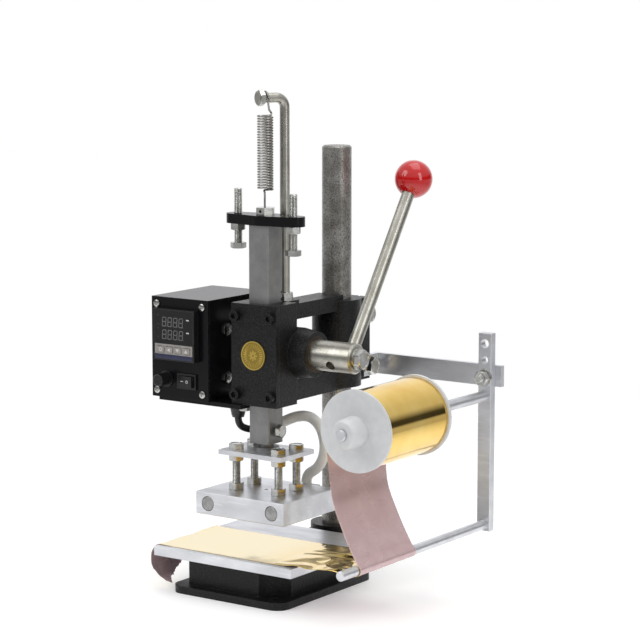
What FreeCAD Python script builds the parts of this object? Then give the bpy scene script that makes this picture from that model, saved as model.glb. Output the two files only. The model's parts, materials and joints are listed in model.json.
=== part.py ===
"""Hand-operated hot foil stamper: a parametric FreeCAD document of its separate pieces.

Units are millimetres. +X is right, +Y is back, +Z is up. The origin is on the axis of the
ram, at the underside of the base.
"""
import FreeCAD, Part
import Sketcher
import math
import os
import re

Vector = FreeCAD.Vector
Rotation = FreeCAD.Rotation

# Driving dimensions, one spreadsheet cell each.
SIZES = {
    # base, column and table
    "flange_left": -65.5, "flange_width": 127.0, "flange_front": -62.4, "flange_depth": 150.5,
    "flange_thick": 7.0, "flange_corner": 13.0, "base_height": 34.5, "pedestal_half": 50.5,
    "pedestal_front": -52.0, "pedestal_back": 76.0, "scallop_r": 21.0,
    "foot_hole_x": 46.5, "foot_hole_front": -49.5, "foot_hole_pitch": 123.5, "foot_hole_r": 3.5,
    "column_y": 114.0, "column_r": 14.0, "column_top": 405.0, "column_floor": 4.0,
    "socket_r": 25.0, "socket_height": 42.0,
    "table_width": 155.0, "table_depth": 141.0, "table_front": -69.5, "table_thick": 8.5,
    "table_screw_x": 26.0, "table_screw_front": -38.0, "table_screw_pitch": 78.0,
    # head casting
    "head_half": 25.3, "head_front": -14.0, "head_back": 13.6, "head_bottom": 174.2,
    "head_top": 268.0, "cover_thick": 5.0, "cover_screw_x": 19.5, "cover_screw_low": 184.0,
    "cover_screw_high": 256.5, "emblem_r": 13.3, "arm_half": 14.0, "upper_arm_bottom": 250.0,
    "upper_arm_top": 264.5, "lower_arm_top": 194.0, "collar_r": 23.6, "collar_bottom": 176.0,
    "collar_top": 259.5, "ear_half": 12.0, "ear_back": 153.0, "slit_half": 1.5,
    "clamp_bolt_y": 144.5, "clamp_low": 192.0, "clamp_high": 242.0,
    # ram, rack and pinion
    "ram_half": 11.2, "ram_bottom": 138.0, "ram_top": 339.3, "slide_gap": 0.1,
    "gear_module": 2.0, "gear_teeth": 12, "rack_tip": 1.35, "rack_root": 2.25, "backlash": 0.2,
    "rack_teeth": 12, "gear_face": 12.0, "shaft_z": 220.5, "shaft_r": 14.0, "barrel_r": 23.5,
    "barrel_end_r": 20.8, "barrel_left": -31.0, "boss_end": 41.4, "bush_r": 16.5,
    "bush_gap": 0.05, "bush_inner": 13.5, "shaft_end": 86.0,
    # lever
    "lever_x": 78.0, "lever_r": 6.0, "lever_lean": 34.1, "lever_reach": 187.5, "ball_r": 17.75,
    "spare_hole_x": 65.0, "spare_hole_r": 4.6, "end_bolt_r": 5.0,
    # cross plate, stops and spring
    "cross_half": 42.0, "cross_centre_r": 15.0, "cross_end_r": 10.0, "cross_thick": 9.0,
    "stop_x": 31.0, "bolt_r": 4.0, "bolt_head_r": 7.5, "bolt_head_height": 5.3,
    "nut_height": 6.5, "stop_low_left": 316.0, "stop_top_left": 371.0, "stop_low_right": 312.5,
    "stop_top_right": 368.5, "eye_head_r": 9.2, "eye_head_height": 6.7, "eye_hole_r": 1.4,
    "spring_r": 7.5, "spring_wire": 1.8, "spring_bottom": 370.5, "spring_length": 69.0,
    "spring_hook_low": 351.5, "spring_rod_x": 8.0, "spring_rod_y": 19.0, "spring_rod_r": 4.5,
    "spring_rod_seat": 256.0, "spring_rod_top": 454.0, "spring_rod_bend": 9.0,
    "spring_rod_reach": 8.0,
    # heating head
    "shank_r": 7.0, "shank_top": 165.0, "plate_width": 71.0, "plate_depth": 52.0,
    "plate_bottom": 127.0, "plate_thick": 4.3, "level_x": 24.0, "level_y": 14.0,
    "block_width": 100.0, "block_depth": 84.0, "block_bottom": 72.5, "block_thick": 21.0,
    "heater_x": 36.0, "heater_z": 83.0, "heater_r": 7.0, "terminal_x": 12.0,
    "terminal_half": 13.0, "terminal_depth": 10.0, "terminal_top": 92.0, "clamp_screw_z": 150.0,
    # control box
    "box_left": -112.0, "box_width": 66.0, "box_front": -27.0, "box_depth": 92.0,
    "box_bottom": 174.2, "box_height": 94.3, "box_wall": 1.5, "panel_thick": 2.0,
    "panel_screw_inset": 6.5, "bezel_x": -81.0, "bezel_z": 234.5, "bezel_size": 48.0,
    "bezel_deep": 7.0, "meter_size": 44.0, "meter_deep": 68.0, "key_pitch": 10.0,
    "key_z": 220.5, "key_width": 8.0, "key_height": 5.5, "key_gap": 0.2, "key_proud": 0.8,
    "key_travel": 0.5, "switch_x": -70.4, "switch_z": 191.5, "switch_width": 22.0,
    "switch_height": 14.4, "switch_tilt": 8.0, "fuse_x": -94.9, "fuse_z": 192.0,
    "fuse_flange_r": 7.7, "fuse_cap_r": 5.8, "fuse_spigot_r": 5.2, "fuse_gap": 0.08,
    "fuse_cap_proud": 14.0, "gland_x": -36.0, "gland_y": 5.0, "gland_r": 7.6,
    "gland_length": 13.0, "bracket_thick": 4.0, "bracket_left": -108.0, "bracket_width": 95.0,
    "bracket_front": -22.0, "bracket_depth": 50.0, "sleeve_r": 5.0,
    # foil feed
    "arm_thick": 5.0, "arm_bottom": 182.0, "arm_height": 20.0, "arm_back": 165.0,
    "arm_end": 155.5, "arm_leg_front": 136.0, "upright_x": 142.0, "upright_width": 14.0, "upright_thick": 8.0,
    "upright_bottom": 44.0, "upright_top": 233.0, "spindle_z": 173.5, "spindle_r": 5.0,
    "spindle_front": -86.5, "guide_z": 50.0, "guide_r": 4.5, "roll_front": -63.4,
    "roll_back": 35.4, "roll_flange_r": 36.5, "roll_flange_thick": 3.0, "roll_foil_r": 34.5,
    "roll_core_r": 17.0, "roll_hub_r": 14.0, "roll_hub_length": 20.0, "foil_front": -58.0,
    "foil_width": 89.0, "foil_thick": 0.3, "foil_left": -78.4,
}

doc = FreeCAD.newDocument("hot_foil_stamper")
sheet = doc.addObject("Spreadsheet::Sheet", "Sizes")
for row, (alias, number) in enumerate(SIZES.items(), start=1):
    sheet.set("A%d" % row, alias)
    sheet.set("B%d" % row, str(number))
    sheet.setAlias("B%d" % row, alias)
doc.recompute()

NODES = []


# ---------------------------------------------------------------- document helpers
def formula(text):
    """Expression text with each size's name pointing at its cell of the sheet."""
    def point_at_cell(match):
        word = match.group()
        return "Sizes." + word if word in SIZES else word
    return re.sub(r"[a-z][a-z0-9_]*", point_at_cell, str(text))


def value(text):
    """The number that a size expression gives now."""
    return float(sheet.evalExpression(formula(text)))


def bind(obj, **sizes):
    """Bind each named property of an object to a size expression."""
    for name, text in sizes.items():
        obj.setExpression(name, formula(text))


TURNS = {
    "z": Rotation(),
    "-z": Rotation(Vector(1, 0, 0), 180),
    "x": Rotation(Vector(0, 1, 0), 90),
    "-x": Rotation(Vector(0, 1, 0), -90),
    "y": Rotation(Vector(1, 0, 0), -90),
    "-y": Rotation(Vector(1, 0, 0), 90),
}


def place(obj, at, turn="z"):
    """Put an object's own origin at a point given as size expressions."""
    rotation = TURNS[turn] if isinstance(turn, str) else turn
    obj.Placement = FreeCAD.Placement(Vector(*[value(text) for text in at]), rotation)
    for axis, text in zip("xyz", at):
        obj.setExpression("Placement.Base." + axis, formula(text))
    return obj


def box(length, width, height, at, turn="z"):
    obj = doc.addObject("Part::Box", "Block")
    bind(obj, Length=length, Width=width, Height=height)
    return place(obj, at, turn)


def cylinder(radius, height, at, turn="z"):
    obj = doc.addObject("Part::Cylinder", "Rod")
    bind(obj, Radius=radius, Height=height)
    return place(obj, at, turn)


def cone(radius_low, radius_high, height, at, turn="z"):
    obj = doc.addObject("Part::Cone", "Taper")
    bind(obj, Radius1=radius_low, Radius2=radius_high, Height=height)
    return place(obj, at, turn)


def hexagon(corner_radius, height, at, turn="z"):
    obj = doc.addObject("Part::Prism", "Hexagon")
    obj.Polygon = 6
    bind(obj, Circumradius=corner_radius, Height=height)
    return place(obj, at, turn)


def fuse(*pieces):
    obj = doc.addObject("Part::MultiFuse", "Joined")
    obj.Shapes = list(pieces)
    obj.Refine = True
    return obj


def cut(base, *tools):
    obj = doc.addObject("Part::Cut", "Trimmed")
    obj.Base = base
    obj.Tool = tools[0] if len(tools) == 1 else fuse(*tools)
    obj.Refine = True
    return obj


def group(pieces):
    """Several identical loose solids as one object."""
    obj = doc.addObject("Part::Compound", "Group")
    obj.Links = list(pieces)
    return obj


def chamfer_all(base, distance):
    """Small even chamfer on every edge of a plain solid."""
    doc.recompute()
    obj = doc.addObject("Part::Chamfer", "Eased")
    obj.Base = base
    obj.Edges = [(number, distance, distance) for number in range(1, len(base.Shape.Edges) + 1)]
    return obj


def node(label, obj):
    """Name a finished sub-part; the label is its file's name."""
    obj.Label = label
    NODES.append(obj)
    return obj


def shaped(label, shape, at=("0", "0", "0")):
    """A sub-part whose shape no primitive or feature gives, put at a point."""
    obj = doc.addObject("Part::Feature", "Shaped")
    obj.Shape = shape
    place(obj, at)
    return node(label, obj)


def origin_plane(body, role):
    return next(item for item in body.Origin.OriginFeatures if item.Role == role)


def outline_sketch(body, role, corners):
    """Closed outline; each corner is two size expressions, held by its own constraints."""
    sketch = body.newObject("Sketcher::SketchObject", "Outline")
    sketch.AttachmentSupport = (origin_plane(body, role), [""])
    sketch.MapMode = "FlatFace"
    points = [Vector(value(across), value(along), 0) for across, along in corners]
    for start, end in zip(points, points[1:] + points[:1]):
        sketch.addGeometry(Part.LineSegment(start, end))
    count = len(points)
    for index in range(count):
        sketch.addConstraint(Sketcher.Constraint("Coincident", index, 2, (index + 1) % count, 1))
    for index, (corner, point) in enumerate(zip(corners, points)):
        for kind, axis, text, number in (("DistanceX", -2, corner[0], point.x),
                                         ("DistanceY", -1, corner[1], point.y)):
            if abs(number) < 1e-9:
                sketch.addConstraint(Sketcher.Constraint("PointOnObject", index, 1, axis))
                continue
            made = sketch.addConstraint(Sketcher.Constraint(kind, -1, 1, index, 1, number))
            sketch.setExpression("Constraints[%d]" % made, formula(text))
    return sketch


def circle_sketch(body, role, circles):
    """Circles given as centre and radius size expressions."""
    sketch = body.newObject("Sketcher::SketchObject", "Circles")
    sketch.AttachmentSupport = (origin_plane(body, role), [""])
    sketch.MapMode = "FlatFace"
    for index, (across, along, radius) in enumerate(circles):
        centre = Vector(value(across), value(along), 0)
        sketch.addGeometry(Part.Circle(centre, Vector(0, 0, 1), value(radius)))
        made = sketch.addConstraint(Sketcher.Constraint("Radius", index, value(radius)))
        sketch.setExpression("Constraints[%d]" % made, formula(radius))
        for kind, axis, text, number in (("DistanceX", -2, across, centre.x),
                                         ("DistanceY", -1, along, centre.y)):
            if abs(number) < 1e-9:
                sketch.addConstraint(Sketcher.Constraint("PointOnObject", index, 3, axis))
                continue
            made = sketch.addConstraint(Sketcher.Constraint(kind, -1, 1, index, 3, number))
            sketch.setExpression("Constraints[%d]" % made, formula(text))
    return sketch


def padded_body(corners, thickness, at, turn="z", holes=()):
    """A body padded from an outline in its own XY plane, with round holes through it."""
    body = doc.addObject("PartDesign::Body", "Body")
    pad = body.newObject("PartDesign::Pad", "Pad")
    pad.Profile = outline_sketch(body, "XY_Plane", corners)
    bind(pad, Length=thickness)
    if holes:
        doc.recompute()
        pocket = body.newObject("PartDesign::Pocket", "Holes")
        pocket.Profile = circle_sketch(body, "XY_Plane", holes)
        pocket.Type = "ThroughAll"
        pocket.Reversed = True
    return place(body, at, turn)


def turned_body(corners, at, turn="z"):
    """A body turned about its own Z axis from an outline of radius and height."""
    body = doc.addObject("PartDesign::Body", "Turned")
    sketch = outline_sketch(body, "XZ_Plane", corners)
    turning = body.newObject("PartDesign::Revolution", "Turning")
    turning.Profile = sketch
    turning.ReferenceAxis = (sketch, ["V_Axis"])
    turning.Angle = 360
    return place(body, at, turn)


def rectangle(width, depth):
    """Corners of a rectangle centred on the body's own Z axis."""
    return [("-(%s)/2" % width, "-(%s)/2" % depth), ("(%s)/2" % width, "-(%s)/2" % depth),
            ("(%s)/2" % width, "(%s)/2" % depth), ("-(%s)/2" % width, "(%s)/2" % depth)]


def hex_bolt(corner_radius, head_height, shank_radius, shank_length, at, turn="z"):
    """Bolt whose head stands on the point and whose shank runs back along -axis."""
    head = hexagon(corner_radius, head_height, at, turn)
    back = {"z": "-z", "-z": "z", "x": "-x", "-x": "x", "y": "-y", "-y": "y"}[turn]
    return fuse(head, cylinder(shank_radius, shank_length, at, back))


def socket_screw(head_radius, head_height, shank_radius, shank_length, at, turn):
    """Cap screw with a hexagon socket; the shank runs back along -axis."""
    back = {"z": "-z", "-z": "z", "x": "-x", "-x": "x", "y": "-y", "-y": "y"}[turn]
    direction = TURNS[turn].multVec(Vector(0, 0, 1))
    floor = ["(%s)+(%s)*%g" % (text, head_height, part * 0.5)
             for text, part in zip(at, direction)]
    head = cut(cylinder(head_radius, head_height, at, turn),
               hexagon("(%s)*0.6" % head_radius, head_height, floor, turn))
    return fuse(head, cylinder(shank_radius, shank_length, at, back))


def slotted_screw(head_radius, head_height, shank_radius, shank_length, at, turn):
    """Pan-head screw with a cross recess; the shank runs back along -axis."""
    back = {"z": "-z", "-z": "z", "x": "-x", "-x": "x", "y": "-y", "-y": "y"}[turn]
    head = cone(head_radius, "(%s)*0.72" % head_radius, head_height, at, turn)
    return fuse(head, cylinder(shank_radius, shank_length, at, back))


# ---------------------------------------------------------------- base
def build_base():
    """Foot flange, pedestal scalloped round the foot holes, and the column's socket behind."""
    right = "flange_left+flange_width"
    back = "flange_front+flange_depth"
    pads = [box("flange_width-2*flange_corner", "flange_depth", "flange_thick",
                ("flange_left+flange_corner", "flange_front", 0)),
            box("flange_width", "flange_depth-2*flange_corner", "flange_thick",
                ("flange_left", "flange_front+flange_corner", 0))]
    for x in ("flange_left+flange_corner", right + "-flange_corner"):
        for y in ("flange_front+flange_corner", back + "-flange_corner"):
            pads.append(cylinder("flange_corner", "flange_thick", (x, y, 0)))
    corners = [("-pedestal_half", "pedestal_front"), ("pedestal_half", "pedestal_front"),
               ("pedestal_half", "pedestal_back"), ("-pedestal_half", "pedestal_back")]
    pedestal = padded_body(corners, "base_height", (0, 0, 0))
    for y in ("pedestal_front", "pedestal_back"):
        scallop = cylinder("scallop_r", "base_height", ("pedestal_half", y, "flange_thick"))
        pedestal = cut(pedestal, scallop)
    socket = cylinder("socket_r", "socket_height", (0, "column_y", 0))
    rib = box("socket_r*2", "column_y-pedestal_back+10", "base_height-0.5",
              ("-socket_r", "pedestal_back-10", 0))
    table_lip = box("table_width+2", "table_depth+2", "table_thick+5",
                    ("-table_width/2-1", "table_front-1", "base_height"))
    bore = cylinder("column_r", "socket_height", (0, "column_y", "column_floor"))
    holes = []
    for y in ("foot_hole_front", "foot_hole_front+foot_hole_pitch"):
        holes.append(cylinder("foot_hole_r", "flange_thick+2", ("foot_hole_x", y, -1)))
    for x in ("-table_screw_x", "table_screw_x"):
        for y in ("table_screw_front", "table_screw_front+table_screw_pitch"):
            holes.append(cylinder(3.0, "base_height+2", (x, y, -1)))
            holes.append(cylinder(5.5, 16, (x, y, -1)))
    casting = fuse(*pads, pedestal, socket, rib)
    node("base_casting", cut(casting, table_lip, bore, *holes))


def build_column():
    height = "column_top-column_floor"
    corners = [(0, 0), ("column_r-1", 0), ("column_r", 1), ("column_r", height + "-1.5"),
               ("column_r-1.5", height), (0, height)]
    node("column", turned_body(corners, (0, "column_y", "column_floor")))


def build_table():
    middle = "table_front+table_depth/2"
    table = padded_body(rectangle("table_width", "table_depth"), "table_thick",
                        (0, middle, "base_height"))
    blind = [cylinder(3.0, 6, (x, y, "base_height-0.1")) for x in
             ("-table_screw_x", "table_screw_x") for y in
             ("table_screw_front", "table_screw_front+table_screw_pitch")]
    node("work_table", cut(table, *blind))
    screws = [socket_screw(5.0, 6, 3.0, "base_height-15+5", (x, y, 15), "-z")
              for x in ("-table_screw_x", "table_screw_x")
              for y in ("table_screw_front", "table_screw_front+table_screw_pitch")]
    node("table_screws", group(screws))


# ---------------------------------------------------------------- head
def build_head_casting():
    """Ram housing, pinion barrel, two arms and the split collar with its clamp ears."""
    axis_y = "ram_half-rack_tip+gear_module*gear_teeth/2"
    housing = box("2*head_half", "head_back-head_front", "head_top-head_bottom",
                  ("-head_half", "head_front", "head_bottom"))
    barrel = cylinder("barrel_r", "head_half-barrel_left",
                      ("barrel_left", axis_y, "shaft_z"), "x")
    boss = cone("barrel_r", "barrel_end_r", "boss_end-head_half",
                ("head_half", axis_y, "shaft_z"), "x")
    reach = "column_y-head_back-8"
    upper = box("2*arm_half", reach, "upper_arm_top-upper_arm_bottom",
                ("-arm_half", "head_back-1", "upper_arm_bottom"))
    root = box("2*arm_half", 20, "head_top-upper_arm_bottom",
               ("-arm_half", "head_back-1", "upper_arm_bottom"))
    lower = box("2*arm_half", reach, "lower_arm_top-head_bottom",
                ("-arm_half", "head_back-1", "head_bottom"))
    collar = cylinder("collar_r", "collar_top-collar_bottom", (0, "column_y", "collar_bottom"))
    ears = box("2*ear_half", "ear_back-column_y", "collar_top-collar_bottom-4",
               ("-ear_half", "column_y", "collar_bottom+2"))
    whole = fuse(housing, barrel, boss, upper, root, lower, collar, ears)
    gap = "ram_half+slide_gap"
    tools = [
        box("2*(%s)" % gap, "2*(%s)" % gap, "head_top-head_bottom+4",
            ("-(%s)" % gap, "-(%s)" % gap, "head_bottom-2")),
        cylinder("bush_r", "boss_end-barrel_left+4", ("barrel_left-2", axis_y, "shaft_z"), "x"),
        cylinder("column_r+bush_gap", "head_top-head_bottom+8",
                 (0, "column_y", "head_bottom-4")),
        box("2*slit_half", "ear_back-column_y+5", "collar_top-collar_bottom+8",
            ("-slit_half", "column_y", "collar_bottom-4")),
        cylinder("spring_rod_r", "head_top-spring_rod_seat+2",
                 ("spring_rod_x", "spring_rod_y", "spring_rod_seat")),
    ]
    for z in ("clamp_low", "clamp_high"):
        tools.append(cylinder(5.0, 60, (-30, "clamp_bolt_y", z), "x"))
    for x in (-1, 1):
        for z in ("cover_screw_low", "cover_screw_high"):
            tools.append(cylinder(3.0, 11, ("%d*cover_screw_x" % x, "head_front-0.1", z), "y"))
    for y in (-8, 14):
        tools.append(cylinder(2.5, 12, (-18.5, y, "head_bottom-1")))
    node("head_casting", cut(whole, *tools))


def build_cover():
    """Front cover plate, its four cap screws and the round emblem disc."""
    height = "head_top-head_bottom"
    middle = "(head_top+head_bottom)/2"
    holes = [("%d*cover_screw_x" % x, "%s-%s" % (z, middle), 3.0)
             for x in (-1, 1) for z in ("cover_screw_low", "cover_screw_high")]
    cover = padded_body(rectangle("2*head_half", height), "cover_thick",
                        (0, "head_front", middle), "-y", holes)
    node("front_cover", cover)
    front = "head_front-cover_thick"
    screws = [socket_screw(5.0, 5, 3.0, "cover_thick+9", ("%d*cover_screw_x" % x, front, z), "-y")
              for x in (-1, 1) for z in ("cover_screw_low", "cover_screw_high")]
    node("cover_screws", group(screws))
    rim = "emblem_r"
    corners = [(0, 0), (rim, 0), (rim, 0.8), (rim + "-0.6", 1.2), (0, 1.2)]
    node("emblem_disc", turned_body(corners, (0, front, 221.0), "-y"))


def build_bushes():
    """Bronze bushes that carry the pinion shaft on both sides of the gear."""
    axis_y = "ram_half-rack_tip+gear_module*gear_teeth/2"
    bushes = []
    for start, length in (("bush_inner", "boss_end-bush_inner"),
                          ("barrel_left", "-bush_inner-barrel_left")):
        outer = cylinder("bush_r", length, (start, axis_y, "shaft_z"), "x")
        inner = cylinder("shaft_r+bush_gap", "(%s)+2" % length,
                         (start + "-1", axis_y, "shaft_z"), "x")
        bushes.append(cut(outer, inner))
    node("pinion_bushes", group(bushes))


def build_clamp_bolts():
    """Two bolts through the collar's ears; the lower one also holds the foil arm."""
    bolts = []
    nuts = []
    for z, grip in (("clamp_low", "arm_thick"), ("clamp_high", 0)):
        head_at = ("ear_half+(%s)+1.5" % grip, "clamp_bolt_y", z)
        bolts.append(hex_bolt(8.6, 6.4, 5.0, "2*ear_half+(%s)+1.5+10" % grip, head_at, "x"))
        washer = cut(cylinder(9.6, 1.5, ("ear_half+(%s)" % grip, "clamp_bolt_y", z), "x"),
                     cylinder(5.0, 3, ("ear_half+(%s)-0.5" % grip, "clamp_bolt_y", z), "x"))
        nut = cut(hexagon(8.6, 8, ("-ear_half-8", "clamp_bolt_y", z), "x"),
                  cylinder(5.0, 10, ("-ear_half-9", "clamp_bolt_y", z), "x"))
        nuts += [washer, nut]
    node("clamp_bolts", group(bolts))
    node("clamp_nuts_and_washers", group(nuts))


# ---------------------------------------------------------------- ram
def gear_profile():
    """Half angle of a pinion tooth at each radius, from the involute of its base circle."""
    pitch_radius = value("gear_module*gear_teeth/2")
    pressure = math.radians(20)
    base_radius = pitch_radius * math.cos(pressure)
    tooth = value("pi*gear_module/2-backlash")
    involute_at_pitch = math.tan(pressure) - pressure
    steps = 6
    tip_radius = value("shaft_r")
    flank = []
    for step in range(steps + 1):
        radius = base_radius + (tip_radius - base_radius) * step / steps
        angle = math.acos(min(1.0, base_radius / radius))
        half = tooth / (2 * pitch_radius) + involute_at_pitch - (math.tan(angle) - angle)
        flank.append((radius, half))
    return flank


def tooth_space(start_angle, end_angle, flank, root_radius, outer_radius):
    """Face, in a plane across the shaft, of one space between two pinion teeth."""
    points = [(root_radius, start_angle + flank[0][1])]
    points += [(radius, start_angle + half) for radius, half in flank]
    points += [(outer_radius, start_angle + flank[-1][1]), (outer_radius, end_angle - flank[-1][1])]
    points += [(radius, end_angle - half) for radius, half in reversed(flank)]
    points += [(root_radius, end_angle - flank[0][1])]
    # angle 0 points to -Y, at the rack
    corners = [Vector(0, -radius * math.cos(angle), radius * math.sin(angle))
               for radius, angle in points]
    return Part.Face(Part.makePolygon(corners + corners[:1]))


def build_pinion_shaft():
    """Shaft with twelve teeth cut in its middle, the lever's cross hole and a spare one."""
    left = value("barrel_left")
    end = value("shaft_end")
    radius = value("shaft_r")
    ease = 1.5
    profile = [Vector(left, 0, 0), Vector(left, radius - ease, 0), Vector(left + ease, radius, 0),
               Vector(end - ease, radius, 0), Vector(end, radius - ease, 0), Vector(end, 0, 0)]
    shaft = Part.Face(Part.makePolygon(profile + profile[:1]))
    shaft = shaft.revolve(Vector(0, 0, 0), Vector(1, 0, 0), 360)
    teeth = int(SIZES["gear_teeth"])
    flank = gear_profile()
    root_radius = value("gear_module*gear_teeth/2-1.8")
    face = value("gear_face")
    pitch = 2 * math.pi / teeth
    spaces = []
    for index in range(teeth):
        section = tooth_space(index * pitch, (index + 1) * pitch, flank, root_radius, radius + 2)
        section.translate(Vector(-face, 0, 0))
        spaces.append(section.extrude(Vector(2 * face, 0, 0)))
    shaft = shaft.cut(spaces)
    lean = math.radians(value("lever_lean"))
    along = Vector(0, math.sin(lean), math.cos(lean))
    lever_x = value("lever_x")
    hole = Part.makeCylinder(value("lever_r"), 2 * radius, Vector(lever_x, 0, 0) - along * 10,
                             along)
    spare = math.radians(60)
    spare_way = Vector(0, math.sin(spare), math.cos(spare))
    spare_hole = Part.makeCylinder(value("spare_hole_r"), 4 * radius,
                                   Vector(value("spare_hole_x"), 0, 0) - spare_way * 2 * radius,
                                   spare_way)
    bolt_hole = Part.makeCylinder(value("end_bolt_r"), 12, Vector(end - 2, 0, 0),
                                  Vector(1, 0, 0))
    shaft = shaft.cut([hole, spare_hole, bolt_hole])
    shaped("pinion_shaft", shaft, (0, "ram_half-rack_tip+gear_module*gear_teeth/2", "shaft_z"))


def build_ram():
    """Square ram with rack teeth cut in its back face and bores for what it holds."""
    half = value("ram_half")
    bottom = value("ram_bottom")
    ram = Part.makeBox(2 * half, 2 * half, value("ram_top-ram_bottom"), Vector(-half, -half, bottom))
    ram = ram.makeChamfer(1.0, [edge for edge in ram.Edges
                                if abs(edge.tangentAt(0).z) > 0.9])
    pitch = value("pi*gear_module")
    slope = math.tan(math.radians(20))
    pitch_space = value("pi*gear_module/2+backlash/2")
    face_half = pitch_space / 2 + value("rack_tip") * slope
    root_half = pitch_space / 2 - value("rack_root") * slope
    depth = value("rack_tip+rack_root")
    lowest = -2
    for index in range(int(SIZES["rack_teeth"])):
        z = value("shaft_z") + (index + lowest) * pitch
        corners = [Vector(-half - 1, half - depth, z - root_half),
                   Vector(-half - 1, half - depth, z + root_half),
                   Vector(-half - 1, half, z + face_half),
                   Vector(-half - 1, half + 1, z + face_half),
                   Vector(-half - 1, half + 1, z - face_half),
                   Vector(-half - 1, half, z - face_half)]
        space = Part.Face(Part.makePolygon(corners + corners[:1]))
        ram = ram.cut(space.extrude(Vector(2 * half + 2, 0, 0)))
    shank_bore = Part.makeCylinder(value("shank_r"), value("shank_top-ram_bottom") + 1,
                                   Vector(0, 0, bottom - 1))
    eye_bore = Part.makeCylinder(5, 30, Vector(0, 0, value("ram_top") - 22))
    clamp_bore = Part.makeCylinder(3, half, Vector(value("shank_r") - 1, 0,
                                                   value("clamp_screw_z")), Vector(1, 0, 0))
    shaped("ram_rack", ram.cut([shank_bore, eye_bore, clamp_bore]))


def build_cross_plate():
    """Lens-shaped plate on top of the ram, with its stop bolts and lock nuts."""
    thick = "cross_thick"
    hub = cylinder("cross_centre_r", thick, (0, 0, "ram_top"))
    pads = [hub]
    for side in (-1, 1):
        centre = "%d*(cross_half-cross_end_r)" % side
        pads.append(cylinder("cross_end_r", thick, (centre, 0, "ram_top")))
    slope = [("-(cross_half-cross_end_r)", "-cross_end_r"), (0, "-cross_centre_r"),
             ("cross_half-cross_end_r", "-cross_end_r"),
             ("cross_half-cross_end_r", "cross_end_r"), (0, "cross_centre_r"),
             ("-(cross_half-cross_end_r)", "cross_end_r")]
    pads.append(padded_body(slope, thick, (0, 0, "ram_top")))
    tools = [cylinder("bolt_r", "cross_thick+2", ("%d*stop_x" % side, 0, "ram_top-1"))
             for side in (-1, 1)]
    tools.append(cylinder(5.0, "cross_thick+2", (0, 0, "ram_top-1")))
    node("cross_plate", cut(fuse(*pads), *tools))
    bolts = []
    for side, low, top in ((-1, "stop_low_left", "stop_top_left"),
                           (1, "stop_low_right", "stop_top_right")):
        at = ("%d*stop_x" % side, 0, low + "+bolt_head_height")
        bolts.append(hex_bolt("bolt_head_r", "bolt_head_height", "bolt_r",
                              "(%s)-(%s)-bolt_head_height" % (top, low), at, "-z"))
    node("stop_bolts", group(bolts))


def bored_nut(at):
    """M8 nut standing on the point, axis up."""
    x, y, z = at
    return cut(hexagon("bolt_head_r", "nut_height", at),
               cylinder("bolt_r", "nut_height+2", (x, y, "%s-1" % z)))


def build_lock_nuts():
    """Lock nuts of the stop bolts and of the levelling bolts."""
    nuts = [bored_nut(("%d*stop_x" % side, 0, "ram_top-nut_height")) for side in (-1, 1)]
    for x in (-1, 1):
        for y in (-1, 1):
            spot = ("%d*level_x" % x, "%d*level_y" % y)
            nuts.append(bored_nut(spot + ("block_bottom+block_thick",)))
            nuts.append(bored_nut(spot + ("plate_bottom-nut_height",)))
    node("lock_nuts", group(nuts))


def build_spring_eye_screw():
    """Hex screw that clamps the cross plate; the spring hooks in its cross hole."""
    top = "ram_top+cross_thick"
    screw = hex_bolt("eye_head_r", "eye_head_height", 5.0, 30, (0, 0, top), "z")
    hole = cylinder("eye_hole_r", "3*eye_head_r",
                    (0, "-1.5*eye_head_r", top + "+eye_head_height/2"), "y")
    node("spring_eye_screw", cut(screw, hole))


def rounded_path(points, radii):
    """Straight runs joined by tangent arcs of the given radii."""
    edges = []
    start = points[0]
    for before, corner, after, radius in zip(points, points[1:], points[2:], radii):
        to_before = (before - corner).normalize()
        to_after = (after - corner).normalize()
        turn = math.pi - to_before.getAngle(to_after)
        setback = radius * math.tan(turn / 2)
        entry = corner + to_before * setback
        leave = corner + to_after * setback
        inward = (to_before + to_after).normalize()
        middle = corner + inward * (radius / math.cos(turn / 2) - radius)
        edges.append(Part.LineSegment(start, entry).toShape())
        edges.append(Part.Arc(entry, middle, leave).toShape())
        start = leave
    edges.append(Part.LineSegment(start, points[-1]).toShape())
    return Part.Wire(edges)


def round_bar(path, radius):
    """Solid round bar along a path."""
    first = path.OrderedEdges[0]
    circle = Part.Circle(first.valueAt(first.FirstParameter),
                         first.tangentAt(first.FirstParameter), radius)
    return path.makePipeShell([Part.Wire([circle.toShape()])], True, True)


def build_spring_rod():
    """Rod behind the ram, bent over at the top to carry the spring on the ram's axis."""
    x, y = value("spring_rod_x"), value("spring_rod_y")
    top = value("spring_rod_top")
    inward = Vector(-x, -y, 0).normalize()
    end = inward * value("spring_rod_reach") + Vector(0, 0, top)
    points = [Vector(x, y, value("spring_rod_seat")), Vector(x, y, top), end]
    rod = round_bar(rounded_path(points, [value("spring_rod_bend")]), value("spring_rod_r"))
    shaped("spring_rod", rod)
    base_nut = cut(hexagon(8.1, 8, ("spring_rod_x", "spring_rod_y", "head_top")),
                   cylinder("spring_rod_r", 10, ("spring_rod_x", "spring_rod_y", "head_top-1")))
    turn = Rotation(Vector(0, 0, 1), inward)
    nut_at = inward * (value("spring_rod_reach") - 5.5) + Vector(0, 0, top)
    end_nut = cut(hexagon(7.6, 5, tuple(nut_at), turn), cylinder("spring_rod_r", 9, tuple(
        nut_at - inward * 2), turn))
    node("spring_rod_nuts", group([base_nut, end_nut]))


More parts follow.
